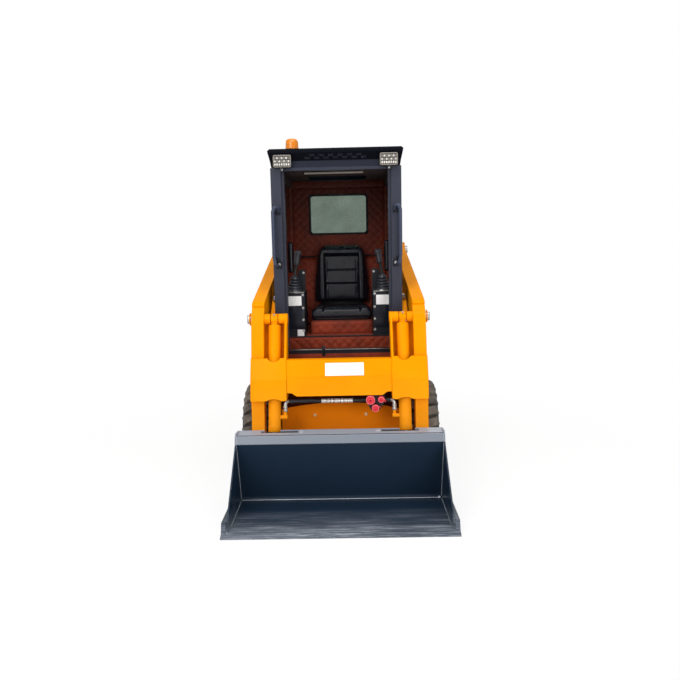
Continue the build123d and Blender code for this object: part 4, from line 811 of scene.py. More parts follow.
# ---- seat -----------------------------------------------------------------------
def stuffed(obj, voxel=7.0, most=7.0):
    """Swell a pad as its foam does, no point by more than a few millimetres."""
    pick(obj)
    obj.data.remesh_voxel_size = voxel * MM
    bpy.ops.object.voxel_remesh()
    before = [vert.co.copy() for vert in obj.data.vertices]
    cloth = obj.modifiers.new("stuffing", "CLOTH")
    cloth.settings.use_pressure = True
    cloth.settings.uniform_pressure_force = 4.0
    cloth.settings.effector_weights.gravity = 0.0
    scene = bpy.context.scene
    for step in range(1, 21):
        scene.frame_set(step)
    bpy.ops.object.modifier_apply(modifier=cloth.name)
    for vert, start in zip(obj.data.vertices, before):
        move = vert.co - start
        if move.length > most * MM:
            vert.co = start + move.normalized() * most * MM
    scene.frame_set(1)
    pick(obj)
    bpy.ops.object.mode_set(mode="EDIT")
    bpy.ops.mesh.select_all(action="SELECT")
    bpy.ops.mesh.vertices_smooth(factor=0.5, repeat=5)
    bpy.ops.object.mode_set(mode="OBJECT")
    return obj


def subdivided(obj):
    """One level of subdivision surface, applied."""
    pick(obj)
    mod = obj.modifiers.new("fine surface", "SUBSURF")
    mod.levels = 1
    mod.render_levels = 1
    bpy.ops.object.modifier_apply(modifier=mod.name)
    return obj


def groove(distance, width, depth):
    """Depth of a sewn channel at a distance from its seam, all in millimetres."""
    share = abs(distance) / width
    return depth * max(0.0, 1.0 - share) ** 1.6 if share < 1.0 else 0.0


def swell(value, start, end):
    """Smooth step from 0 at start to 1 at end."""
    t = min(1.0, max(0.0, (value - start) / (end - start)))
    return t * t * (3.0 - 2.0 * t)


class LOADER_OT_seat(bpy.types.Operator):
    """Suspension seat: stuffed cushion and backrest with sewn channels, on a moulded pan"""
    bl_idname = "loader.seat"
    bl_label = "Seat"

    middle = 16.0

    def execute(self, context):
        self.cushion()
        self.backrest()
        self.pan()
        return {"FINISHED"}

    def cushion(self):
        x = self.middle
        pad = plate([(74.0, 992.0), (66.0, 1015.0), (74.0, 1040.0), (100.0, 1050.0), (240.0, 1046.0),
                     (466.0, 1034.0), (466.0, 985.0), (90.0, 985.0)], "X", x - 212.0, x + 211.0, 16.0, 3)
        stuffed(pad, 7.0, 7.0)
        subdivided(pad)
        for vert in pad.data.vertices:
            px, py, pz = (c / MM for c in vert.co)
            if pz < 1012.0:
                continue
            top = swell(pz, 1012.0, 1034.0)
            side = abs(px - x)
            rise = 13.0 * swell(side, 118.0, 142.0) * (1.0 - swell(side, 168.0, 200.0))
            front = 8.0 * (1.0 - swell(py, 90.0, 150.0))
            inner = 1.0 - swell(side, 120.0, 132.0)
            sink = groove(side - 128.0, 9.0, 12.0)
            sink += inner * (groove(py - 150.0, 9.0, 11.0) + groove(py - 265.0, 8.0, 9.0)
                             + groove(py - 370.0, 8.0, 9.0))
            vert.co.z += (rise + front * inner - sink) * top * MM
        done(pad, "seat_cushion_pad", "seat_vinyl", "chassis", smooth=70.0)
        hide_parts("seat_cushion")

    def backrest(self):
        x = self.middle
        # front view with rounded shoulders; the pad leans back 5 degrees
        half = [(205.0, 1062.0), (208.0, 1170.0), (196.0, 1300.0), (181.0, 1408.0), (164.0, 1462.0),
                (126.0, 1493.0)]
        shape = [*[(x + w, z) for w, z in half], *[(x - w, z) for w, z in reversed(half)]]
        pad = plate(shape, "Y", 484.0, 548.0, 20.0, 3)
        stuffed(pad, 7.0, 7.0)
        subdivided(pad)
        for vert in pad.data.vertices:
            px, py, pz = (c / MM for c in vert.co)
            front = 1.0 - swell(py, 500.0, 515.0)
            side = abs(px - x)
            edge = swell(side, 112.0, 138.0) * (1.0 - 0.9 * swell(side, 154.0, 188.0))
            crown = swell(pz, 1408.0, 1432.0) * (1.0 - 0.9 * swell(pz, 1450.0, 1485.0))
            raised = 24.0 * max(edge, crown)
            panel = (1.0 - swell(side, 110.0, 122.0)) * (1.0 - swell(pz, 1402.0, 1414.0))
            sink = groove(side - 122.0, 8.0, 11.0) * (1.0 - swell(pz, 1404.0, 1418.0))
            sink += groove(side - 106.0, 5.0, 4.0) * (1.0 - swell(pz, 1380.0, 1396.0))
            sink += groove(pz - 1410.0, 8.0, 11.0) * (1.0 - swell(side, 120.0, 130.0))
            sink += panel * (groove(pz - 1304.0, 9.0, 11.0) + groove(pz - 1204.0, 9.0, 11.0))
            lumbar = panel * 7.0 * math.sin(math.pi * min(1.0, max(0.0, (pz - 1070.0) / 330.0)))
            vert.co.y -= (raised - sink + lumbar - 14.0) * front * MM
            vert.co.y += (pz - 1062.0) * math.tan(math.radians(5.0)) * MM
        done(pad, "seat_back_pad", "seat_vinyl", "chassis", smooth=70.0)
        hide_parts("seat_back")

    def pan(self):
        x = self.middle
        tray = plate([(86.0, 976.0), (80.0, 990.0), (100.0, 998.0), (470.0, 992.0), (520.0, 1010.0),
                      (532.0, 976.0)], "X", x - 186.0, x + 186.0, 3.0, 2)
        coated(tray, "black_plastic")
        shell = plate([(x - 160.0, 1040.0), (x + 160.0, 1040.0), (x + 160.0, 1400.0), (x + 110.0, 1468.0),
                       (x - 110.0, 1468.0), (x - 160.0, 1400.0)], "Y", 545.0, 556.0, 3.0, 2)
        for vert in shell.data.vertices:
            vert.co.y += (vert.co.z - 1062.0 * MM) * math.tan(math.radians(5.0))
        coated(shell, "black_plastic")
        hinge = tube([(x - 190.0, 500.0, 1030.0), (x + 190.0, 500.0, 1030.0)], 12.0, sides=4)
        coated(hinge, "screen_steel")
        belts = []
        for side in (-1, 1):
            strap = plate([(470.0, 1000.0), (480.0, 1060.0), (430.0, 1074.0), (424.0, 1062.0), (462.0,
                                                                                                1048.0)],
                          "X", x + side * 196.0 - 1.5, x + side * 196.0 + 1.5, 0.6, 1)
            belts.append(coated(strap, "black_plastic"))
        done(joined([tray, shell, hinge, *belts]), "seat_pan", "black_plastic", "chassis", coat=False)


class LOADER_OT_armrests(bpy.types.Operator):
    """Padded armrests, folded up beside the backrest"""
    bl_idname = "loader.armrests"
    bl_label = "Armrests"

    def execute(self, context):
        for name, side in SIDES:
            pad = block((side * 329.0, side * 364.0), (334.0, 396.0), (1294.0, 1516.0), 12.0, 3)
            stuffed(pad, 6.0, 3.0)
            done(pad, f"armrest_pad_{name}", "seat_vinyl", "chassis", smooth=70.0)
            bar = tube(bent([(side * 358.0, 380.0, 1312.0), (side * 358.0, 470.0, 1311.0),
                             (side * 358.0, 604.0, 1311.0)], 20.0), 8.0)
            boss = turned([(0.0, 0.0), (0.0, 16.0), (10.0, 16.0), (12.0, 12.0), (12.0, 0.0)],
                          (side * 358.0, 604.0, 1311.0), (0, -1, 0), 20)
            done(joined([bar, boss]), f"armrest_bar_{name}", "screen_steel", "chassis")
            if side > 0:
                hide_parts("armrests")
        return {"FINISHED"}


# ---- inside the cab -------------------------------------------------------------
def quilted(path, side, start, end, pitch, depth=5.0, thick=7.0, hole=None):
    """Padded sheet stitched in diamonds, along a path of points and across it from start to end."""
    line = [Vector(p) for p in path]
    side = Vector(side)
    lengths = [0.0]
    for a, b in zip(line, line[1:]):
        lengths.append(lengths[-1] + (b - a).length)
    total = lengths[-1]
    cell = pitch / 8.0
    fresh()
    bpy.ops.mesh.primitive_grid_add(x_subdivisions=max(4, round((end - start) / cell)),
                                    y_subdivisions=max(4, round(total / cell)), size=1.0)
    obj = bpy.context.object
    for vert in obj.data.vertices:
        u = start + (vert.co.x + 0.5) * (end - start)
        v = (vert.co.y + 0.5) * total
        i = 0
        while i < len(line) - 2 and v > lengths[i + 1]:
            i += 1
        run = (line[i + 1] - line[i]).normalized()
        across_u = abs(math.sin(math.pi * (u + v) / pitch))
        across_v = abs(math.sin(math.pi * (u - v) / pitch))
        rim = min(1.0, min(u - start, end - u, v, total - v) / 14.0)
        puff = depth * (across_u * across_v) ** 0.4 * max(0.0, rim) ** 0.5
        vert.co = (line[i] + run * (v - lengths[i]) + side * u + side.cross(run) * puff) * MM
    if hole:
        bpy.ops.object.mode_set(mode="EDIT")
        bpy.ops.mesh.select_all(action="DESELECT")
        bpy.ops.object.mode_set(mode="OBJECT")
        for vert in obj.data.vertices:
            x, z = vert.co.x / MM, vert.co.z / MM
            vert.select = hole[0] < x < hole[1] and hole[2] < z < hole[3]
        bpy.ops.object.mode_set(mode="EDIT")
        bpy.ops.mesh.delete(type="VERT")
        bpy.ops.object.mode_set(mode="OBJECT")
    pick(obj)
    mod = obj.modifiers.new("wadding", "SOLIDIFY")
    mod.thickness = thick * MM
    mod.offset = -1.0
    bpy.ops.object.modifier_apply(modifier=mod.name)
    return obj


class LOADER_OT_linings(bpy.types.Operator):
    """Quilted lining of the walls, step and seat box, felt headliner and piping"""
    bl_idname = "loader.linings"
    bl_label = "Cab linings"

    def execute(self, context):
        pitch = context.scene.loader_sizes.quilt / MM
        across_x = (1.0, 0.0, 0.0)
        # rear wall: upright to the ledge, over its roll, then leaning forwards to the step
        upper = quilted([(0, 645.0, 1404.0), (0, 645.0, 1914.0)], across_x, -346.0, 346.0, pitch,
                        hole=(-216.0, 216.0, 1572.0, 1861.0))
        fold = bent([(0, 550.0, 892.0), (0, 597.0, 1382.0), (0, 645.0, 1402.0)], 16.0, 4)
        lower = quilted(fold, across_x, -346.0, 346.0, pitch)
        rear = done(joined([upper, lower]), "rear_wall_quilting", "quilted_lining", "chassis", smooth=60.0)
        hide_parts("cab_lining")
        walls = []
        for _, side in SIDES:
            # a sheet that runs up the wall and faces the seat
            x = side * 386.0
            back = (0.0, float(side), 0.0)
            near, far = (-90.0, 605.0) if side > 0 else (-605.0, 90.0)
            walls.append(quilted([(x, 0, 892.0), (x, 0, 1030.0)], back, near, far, pitch, thick=5.0))
            near, far = (222.0, 605.0) if side > 0 else (-605.0, -222.0)
            walls.append(quilted([(x, 0, 1030.0), (x, 0, 1916.0)], back, near, far, pitch, thick=5.0))
        # over the rear corner posts, round the corner to the rear wall
        post = quilted([(382.0, 602.0, 0), (347.0, 602.0, 0), (345.0, 643.0, 0)], (0, 0, 1), 892.0, 1966.0,
                       pitch, 4.0, 2.0)
        walls += [post, across(post)]
        # rear rail and headliner, open below the skylight
        walls.append(quilted([(0, 652.0, 1916.0), (0, 612.0, 1916.0), (0, 612.0, 1962.0)], across_x,
                             -346.0, 346.0, pitch, 3.0, 2.0))
        sides = done(joined(walls), "side_wall_quilting", "quilted_lining", "chassis", smooth=60.0)
        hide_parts("side_linings")
        # felt headliner, open below the skylight, and its strips down the roof rails; their dark brown felt is
        # also painted shade under the roof
        felt = [quilted([(0, -190.0, 1964.0), (0, 288.0, 1964.0)], (-1.0, 0.0, 0.0), -346.0, 346.0,
                        pitch, 2.0, 3.0)]
        for low, high in ((-346.0, -204.0), (204.0, 346.0)):
            felt.append(quilted([(0, 288.0, 1964.0), (0, 612.0, 1964.0)], (-1.0, 0.0, 0.0), low, high,
                                pitch, 2.0, 3.0))
        rail = quilted([(392.0, 0, 1915.5), (345.0, 0, 1915.5), (345.0, 0, 1964.0)], (0, -1, 0), -600.0,
                       150.0,
                       pitch, 2.0, 2.0)
        felt += [rail, across(rail)]
        coated(joined(felt), "headliner")
        done(felt[0], "roof_headliner", "quilted_lining", "chassis", coat=False)
        left = -191.0
        right = 223.0
        riser = quilted([(0, 19.0, 893.0), (0, 19.0, 972.0)], across_x, left + 2, right - 2, pitch, 6.0, 2.0)
        front = quilted([(0, -96.0, 690.0), (0, -96.0, 884.0)], across_x, -380.0, 380.0, pitch, 6.0, 2.0)
        top = quilted([(0, -94.0, 891.0), (0, 18.0, 891.0)], across_x, -222.0, 222.0, pitch, 4.0, 1.0)
        done(joined([riser, front, top]), "step_quilting", "quilted_lining", "chassis", smooth=60.0)
        # piping that binds the ledge, the foot of the wall and the step's nose
        cords = [tube([(-346.0, y, z), (346.0, y, z)], 4.5, sides=2)
                 for y, z in ((641.0, 1405.0), (543.0, 895.0), (-97.0, 890.0))]
        cords += [tube([(side * 384.0, 224.0, 1034.0), (side * 384.0, 224.0, 1914.0)], 4.5, sides=2)
                  for _, side in SIDES]
        done(joined(cords), "lining_piping", "floor_black", "chassis")
        return {"FINISHED"}


class LOADER_OT_consoles(bpy.types.Operator):
    """Ribbed boots, control levers, top plates, screws and blank labels on both consoles"""
    bl_idname = "loader.consoles"
    bl_label = "Consoles"

    def execute(self, context):
        boot = [(0.0, 51.0), (3.0, 51.5)]
        for i in range(5):
            low = 5.0 + i * 19.0
            wide = 51.0 - i * 5.0
            boot += [(low, wide - 12.0), (low + 5.0, wide - 1.5), (low + 8.5, wide), (low + 12.0, wide - 1.5)]
        boot += [(102.0, 19.0), (110.0, 14.0), (112.0, 0.0)]
        bellows = coated(turned(boot, (298.0, 0.0, 1181.0), (-0.05, -0.04, 1), 40), "boot_rubber", 50.0)
        stem = bent([(292.0, -4.0, 1280.0), (286.0, -10.0, 1330.0), (264.0, -26.0, 1400.0)], 60.0, 5)
        lever = coated(tube(stem, 11.0), "black_plastic")
        grip = [(0.0, 12.0), (6.0, 18.5), (16.0, 20.0), (28.0, 18.0), (42.0, 20.5), (56.0, 19.0),
                (70.0, 22.0), (82.0, 24.0), (91.0, 21.0), (96.0, 11.0), (97.0, 0.0)]
        handle = coated(turned(grip, (277.0, -18.0, 1362.0), (-0.16, -0.2, 1), 28), "boot_rubber", 60.0)
        rocker = block((252.0, 268.0), (-65.0, -51.0), (1425.0, 1446.0), 3.0, 2)
        coated(rocker, "lamp_housing")
        levers = both(joined([bellows, lever, handle, rocker]), "control_lever_set", "black_plastic",
                      "chassis", coat=False)
        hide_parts("control_levers")
        # folded steel top with the boot's ring, screwed down at its corners
        top = block((228.0, 343.0), (-91.5, 59.0), (1180.0, 1183.0), 1.0)
        coated(top, "pin_steel")
        ring = turned([(0.0, 46.0), (0.0, 54.0), (4.0, 53.0), (5.0, 48.0)], (298.0, 0.0, 1183.0), (0, 0,
                                                                                                   1), 40)
        coated(ring, "pin_steel")
        door = plate([(230.0, 944.0), (339.0, 944.0), (339.0, 1088.0), (230.0, 1088.0)],
                     "Y", -93.0, -90.2, 1.0)
        coated(door, "screen_steel")
        both(joined([top, ring, door]), "console_covers", "screen_steel", "chassis", coat=False)
        screws = [(236.0, -93.5, z) for z in (1167.0, 1081.0, 1002.0, 930.0)]
        heads = placed(hexagon(6.0, 4.0), [facing(p, (0, -1, 0), 12.0) for p in screws])
        crown = hexagon(6.0, 4.0)
        crown.data.transform(facing((238.0, 59.5, 1306.0), (0, -1, 0)))
        both(joined([heads, crown]), "console_screws", "pin_steel", "chassis")
        labels = [
            plate([(-342.0, 1096.0), (-246.0, 1096.0), (-246.0, 1159.0), (-342.0, 1159.0)],
                  "Y", -91.6, -90.2, 0.4, 1),
            plate([(246.0, 1094.0), (338.0, 1094.0), (338.0, 1158.0), (246.0, 1158.0)],
                  "Y", -91.6, -90.2, 0.4, 1),
            plate([(-278.0, 894.0), (-234.0, 894.0), (-234.0, 936.0), (-278.0, 936.0)],
                  "Y", -91.6, -90.2, 0.4, 1),
        ]
        done(joined(labels), "console_labels", "blank_label", "chassis")
        return {"FINISHED"}


class LOADER_OT_rear_window(bpy.types.Operator):
    """Rubber gaskets of the rear window and the skylight"""
    bl_idname = "loader.rear_window"
    bl_label = "Rear window"

    def execute(self, context):
        half, low, high = 217.0, 1571.0, 1862.0
        corners = [(-half, low), (half, low), (half, high), (-half, high), (-half, low), (half, low)]
        loop = bent([(x, 648.0, z) for x, z in corners], 28.0, 6)[1:-1]
        seal = tube(loop[:28], 9.0, closed=True, sides=3)
        lip = tube([(p[0], 637.0, p[2]) for p in loop[:28]], 4.5, closed=True, sides=2)
        done(joined([seal, lip]), "rear_window_gasket", "floor_black", "chassis")
        half_x, y0, y1 = 205.0, 285.0, 615.0
        corners = [(-half_x, y0), (half_x, y0), (half_x, y1), (-half_x, y1), (-half_x, y0), (half_x, y0)]
        loop = bent([(x, y, 2077.5) for x, y in corners], 14.0, 6)[1:-1]
        done(tube(loop[:28], 6.0, closed=True, sides=3), "skylight_gasket", "floor_black", "chassis")
        return {"FINISHED"}


# ---- lamps ----------------------------------------------------------------------
class LOADER_OT_lamps(bpy.types.Operator):
    """Ribbed lenses and reflectors of the work lamps, tail lamp lenses, the beacon"""
    bl_idname = "loader.lamps"
    bl_label = "Lamps and beacon"

    def execute(self, context):
        # work lamp: a ribbed lens over a bright reflector, split by a bar
        ribs = 15
        front = [(277.0 + (380.0 - 277.0) * i / (2 * ribs), -262.6 if i % 2 else -260.0)
                 for i in range(2 * ribs + 1)]
        glass = plate([*front, (380.0, -258.3), (277.0, -258.3)], "Z", 1971.0, 2038.0, 0.0)
        coated(glass, "lamp_lens", 10.0)
        mirror = coated(block((283.5, 373.5), (-252.9, -252.2), (1976.5, 2031.5), 0.2, 1), "rod_chrome")
        # rows of bright cells between the lens's dark bars
        fins = [block((278.0, 379.0), (-263.4, -260.0), (z - 1.3, z + 1.3), 0.4, 1)
                for z in (1975.5, 1993.0, 2013.0, 2033.0)]
        bar = coated(joined(fins), "lamp_housing")
        rows = ((1984.0, 6.8, range(7)), (2003.0, 5.0, range(0, 7, 2)), (2023.0, 5.0, range(1, 7, 2)))
        cells = [block((283.0 + 14.0 * i, 292.0 + 14.0 * i), (-263.6, -261.0), (z - high, z + high), 1.0, 1)
                 for z, high, columns in rows for i in columns]
        cells = coated(joined(cells), "lamp_cell")
        loop = bent([(x, -260.0, z) for x, z in
                     ((276, 1970), (381, 1970), (381, 2039), (276, 2039), (276, 1970), (381, 1970))], 7.0, 4)
        rim = coated(tube(loop[1:21], 2.6, closed=True, sides=2), "blind")
        foot = coated(plate([(-262.0, 1958.0), (-214.0, 1958.0), (-214.0, 1967.0), (-262.0, 1967.0)],
                            "X", 318.0, 344.0, 1.5), "screen_steel")
        bolt = hexagon(7.0, 8.0)
        bolt.data.transform(facing((331.0, -246.0, 1958.0), (0, 0, -1)))
        coated(bolt, "pin_steel")
        both(joined([glass, mirror, bar, cells, rim, foot, bolt]), "work_lamp_lenses", "window_glass",
             "chassis",
             coat=False)
        # tail lamps: red and clear fields in a black bezel
        red = coated(block((430.2, 433.0), (1054.0, 1088.0), (1014.0, 1096.0), 1.0), "red_lens")
        pale = coated(block((430.2, 433.0), (1090.0, 1116.0), (1014.0, 1096.0), 1.0), "lamp_lens")
        stop = coated(block((412.0, 427.0), (1120.2, 1123.0), (1016.0, 1094.0), 1.0), "red_lens")
        both(joined([red, pale, stop]), "tail_lamp_lenses", "red_plastic", "chassis", coat=False)
        self.beacon()
        return {"FINISHED"}

    def beacon(self):
        """Amber dome over its core, on a flange with three screws."""
        dome = [(0.0, 41.0), (5.0, 42.5), (8.0, 41.6), (34.0, 40.8), (50.0, 38.6), (58.5, 33.6),
                (63.5, 25.0), (65.6, 13.0), (66.0, 0.0)]
        shade = turned(dome, (-275.0, -110.0, 2094.3), (0, 0, 1), 48)
        done(shade, "beacon_shade", "amber_plastic", "chassis", smooth=60.0)
        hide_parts("beacon_dome")
        core = turned([(0.0, 20.0), (22.0, 20.0), (24.0, 8.0), (48.0, 8.0), (50.0, 0.0)],
                      (-275.0, -110.0, 2094.5), (0, 0, 1), 28)
        coated(core, "amber_plastic")
        flange = turned([(0.0, 44.0), (0.0, 47.0), (4.0, 47.0), (6.0, 44.4), (12.0, 44.0), (14.0, 42.8)],
                        (-275.0, -110.0, 2080.0), (0, 0, 1), 48)
        coated(flange, "lamp_housing")
        tabs = [facing((-275.0 + 43.0 * math.cos(t), -110.0 + 43.0 * math.sin(t), 2084.0),
                       (math.cos(t), math.sin(t), 0.2)) for t in (0.4, 2.5, 4.6)]
        clips = coated(placed(hexagon(3.5, 2.5), tabs), "pin_steel")
        done(joined([core, flange, clips]), "beacon_fittings", "lamp_housing", "chassis", coat=False)


# ---- hydraulics -----------------------------------------------------------------
HOSE_ROUTES = {
    "right": ((0.290, -0.550, 0.562), (0.240, -0.550, 0.562), (0.180, -0.533, 0.561),
              (0.125, -0.530, 0.556), (0.075, -0.530, 0.556)),
    "left": ((-0.290, -0.550, 0.562), (-0.240, -0.550, 0.562), (-0.180, -0.533, 0.561),
             (-0.125, -0.530, 0.556), (-0.107, -0.530, 0.556)),
}


def hex_nut(place, direction, length, radius):
    """Hexagon nut centred on a place, its axis along a direction."""
    fresh()
    bpy.ops.mesh.primitive_cylinder_add(vertices=6, radius=radius * MM, depth=length * MM)
    nut = soften(bpy.context.object, 1.0, 1)
    nut.data.transform(facing(place, direction))
    return nut


class LOADER_OT_hydraulics(bpy.types.Operator):
    """Hoses with their union, steel elbows, couplers and red dust caps"""
    bl_idname = "loader.hydraulics"
    bl_label = "Hydraulics"

    def execute(self, context):
        width = context.scene.loader_sizes.hose
        for side, route in HOSE_ROUTES.items():
            curve = bpy.data.curves.new(f"hose_{side}", "CURVE")
            curve.dimensions = "3D"
            curve.bevel_depth = width / 2
            curve.bevel_resolution = 5
            curve.resolution_u = 16
            curve.use_fill_caps = True
            spline = curve.splines.new("NURBS")
            spline.points.add(len(route) - 1)
            for point, place in zip(spline.points, route):
                point.co = (*place, 1.0)
            spline.order_u = 3
            spline.use_endpoint_u = True
            hose = bpy.data.objects.new(f"hose_{side}", curve)
            context.collection.objects.link(hose)
            curve.materials.append(FINISH["hose_rubber"])
            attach(hose, "arms")
            if side == "right":
                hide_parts("hoses")
            self.union(side)
        self.elbows()
        self.couplers()
        return {"FINISHED"}

    def union(self, side):
        """Crimped sleeve and hexagon nuts at a hose's inner end, up to the middle of the union."""
        start, way = (75.0, -1) if side == "right" else (-107.0, 1)
        place = Vector((start, -530.0, 556.0))
        profile = [(-4.0, 0.0), (-4.0, 12.0)]
        for i in range(4):
            profile += [(-3.0 + i * 8.0, 13.4), (1.0 + i * 8.0, 13.4), (2.5 + i * 8.0, 12.0)]
        profile += [(30.0, 9.0), (30.0, 0.0)]
        parts = [turned(profile, place, (way, 0, 0), 28), turned([(28.0, 0.0), (28.0, 7.5), (91.0, 7.5),
                 (91.0, 0.0)], place, (way, 0, 0), 20)]
        for near, far, radius in ((31.0, 47.0, 14.0), (53.0, 68.0, 15.5), (74.0, 90.6, 14.5)):
            parts.append(hex_nut(place + Vector((way * (near + far) / 2, 0, 0)), (way, 0, 0),
                                 far - near, radius))
        piece = coated(joined(parts), "bright_zinc")
        done(piece, f"hose_union_{side}", "pin_steel", "arms", coat=False)
        if side == "right":
            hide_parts("hose_union")
        return piece

    def elbows(self):
        """Steel elbow, its two nuts and the hose's collar over each tilt cylinder's port."""
        for name, side in SIDES:
            foot = Vector((side * 328.0, -571.9, 469.6))
            corner = Vector((side * 328.0, -550.0, 562.0))
            mouth = Vector((side * 286.0, -550.0, 562.0))
            down = (foot - corner).normalized()
            low = corner - down * -58.0
            pipe = tube(bent([mouth + Vector((side * 16.0, 0, 0)), corner, low], 21.0, 6), 11.4)
            parts = [pipe, hex_nut(corner + down * 34.0, down, 14.0, 15.5),
                     hex_nut(corner + down * 54.0, down, 16.0, 17.0)]
            coated(joined(parts), "pin_steel")
            # the hose's end, crimped in its collar up to the bend
            collar = turned([(-14.0, 0.0), (-14.0, 12.4), (-10.0, 13.4), (16.0, 13.4), (19.0, 12.4),
                             (19.0, 0.0)],
                            mouth, (side, 0, 0), 28)
            coated(collar, "hose_rubber")
            parts = [parts[0], collar]
            done(joined(parts), f"port_elbow_{name}", "pin_steel", f"tilt_barrel_{name}_body", coat=False)

    def couplers(self):
        """Quick couplers, with their caps on rings and straps."""
        caps = []
        rims = []
        bodies = []
        for x, z, radius, hang in ((184.0, 571.0, 27.0, 1), (248.0, 573.0, 18.5, 1),
                                (213.0, 521.0, 22.0, -1)):
            bodies.append(turned([(-4.0, 0.0), (-4.0, 16.0), (2.0, 16.0), (4.0, 14.5), (8.0, 14.5), (9.0,
                                                                                                     16.5),
                                  (16.0, 16.5), (17.0, 14.0), (17.0, 0.0)], (x, -567.0, z), (0, -1, 0), 24))
            cap = turned([(-6.0, radius - 1.5), (-4.0, radius), (2.0, radius), (4.0, radius - 1.5),
                          (16.0, radius - 2.0), (19.0, radius - 4.0), (19.4, radius * 0.62),
                          (17.0, radius * 0.56), (17.0, radius * 0.3), (18.6, radius * 0.24), (18.6, 0.0)],
                         (x, -584.0, z), (0, -1, 0), 36)
            caps.append(cap)
            turns = [math.tau * i / 28 for i in range(28)]
            # painted highlight: a pale ring inside each cap's rim, where light catches its bevel
            rims.append(tube([(x + (radius - 2.6) * math.cos(t), -600.4, z + (radius - 2.6) * math.sin(t))
                              for t in turns], 2.2, closed=True, sides=2))
            ring = [(x + 17.5 * math.cos(t), -575.0, z + 17.5 * math.sin(t))
                    for t in (math.tau * i / 20 for i in range(20))]
            caps.append(tube(ring, 2.6, closed=True, sides=2))
            reach = 13.0 if hang > 0 else 15.0
            strap = bent([(x + 15.0, -577.0, z - 8.0), (x + 15.0 + reach, -590.0, z - 20.0 * hang),
                          (x + 10.0 + reach, -602.0, z - 2.0), (x + radius - 4.0, -596.0, z + 4.0)], 7.0, 3)
            caps.append(tube(strap, 2.8, sides=2))
        done(joined(bodies), "quick_couplers", "pin_steel", "arms")
        lids = joined([coated(joined(caps), "red_plastic", 50.0), coated(joined(rims), "red_rim_highlight")])
        done(lids, "red_dust_caps", "red_plastic", "arms", coat=False)
        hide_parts("dust_caps")


# ---- arms and cylinders ---------------------------------------------------------
def along(start, end, distance):
    """Point at a distance from start towards end, in millimetres."""
    a, b = Vector(start), Vector(end)
    return a + (b - a).normalized() * distance


LIFT_LINE = ((464.0, 936.0, 785.0), (464.0, 360.0, 1130.0))
TILT_LINE = ((392.0, -395.0, 1045.0), (392.0, -636.9, 258.3))


class LOADER_OT_cylinders(bpy.types.Operator):
    """Glands, wiper rings and neck welds on the lift and tilt cylinders"""
    bl_idname = "loader.cylinders"
    bl_label = "Cylinders"

    def execute(self, context):
        weld = context.scene.loader_sizes.weld / MM
        for kind, line, radius, length in (("lift", LIFT_LINE, 34.0, None), ("tilt", TILT_LINE, 37.0, 690.0)):
            start, end = (Vector(p) for p in line)
            run = (end - start).normalized()
            length = length or self.reach(start, run)
            for name, side in SIDES:
                flip = Vector((side, 1.0, 1.0))
                tip = (start + run * length) * flip
                way = run * flip
                # gland proud of the tube by 1.6 mm, with a wiper at its mouth
                gland = turned([(-34.0, radius - 2.0), (-34.0, radius + 1.6), (-4.0, radius + 1.6),
                                (-1.0, radius), (0.3, radius - 5.0), (0.3, 24.0)], tip, way, 48)
                wiper = turned([(0.2, 29.0), (2.4, 28.0), (3.4, 23.5), (0.2, 22.5)], tip, way, 36)
                coated(wiper, "floor_black")
                low = (start + run * (42.0 + weld)) * flip
                seam = turned([(-weld, 24.0), (0.0, 28.5), (weld, 31.0)], low, way, 36)
                coated(joined([gland, seam]), "body_orange")
                done(joined([gland, wiper]), f"{kind}_gland_{name}", "body_orange",
                     f"{kind}_barrel_{name}_body", coat=False)
        return {"FINISHED"}

    def reach(self, start, run):
        """Length of the lift barrels, from the CAD solid's own far corner."""
        best = 0.0
        for vert in NODES["lift_barrel_right"].data.vertices:
            best = max(best, (vert.co / MM - start).dot(run))
        return best


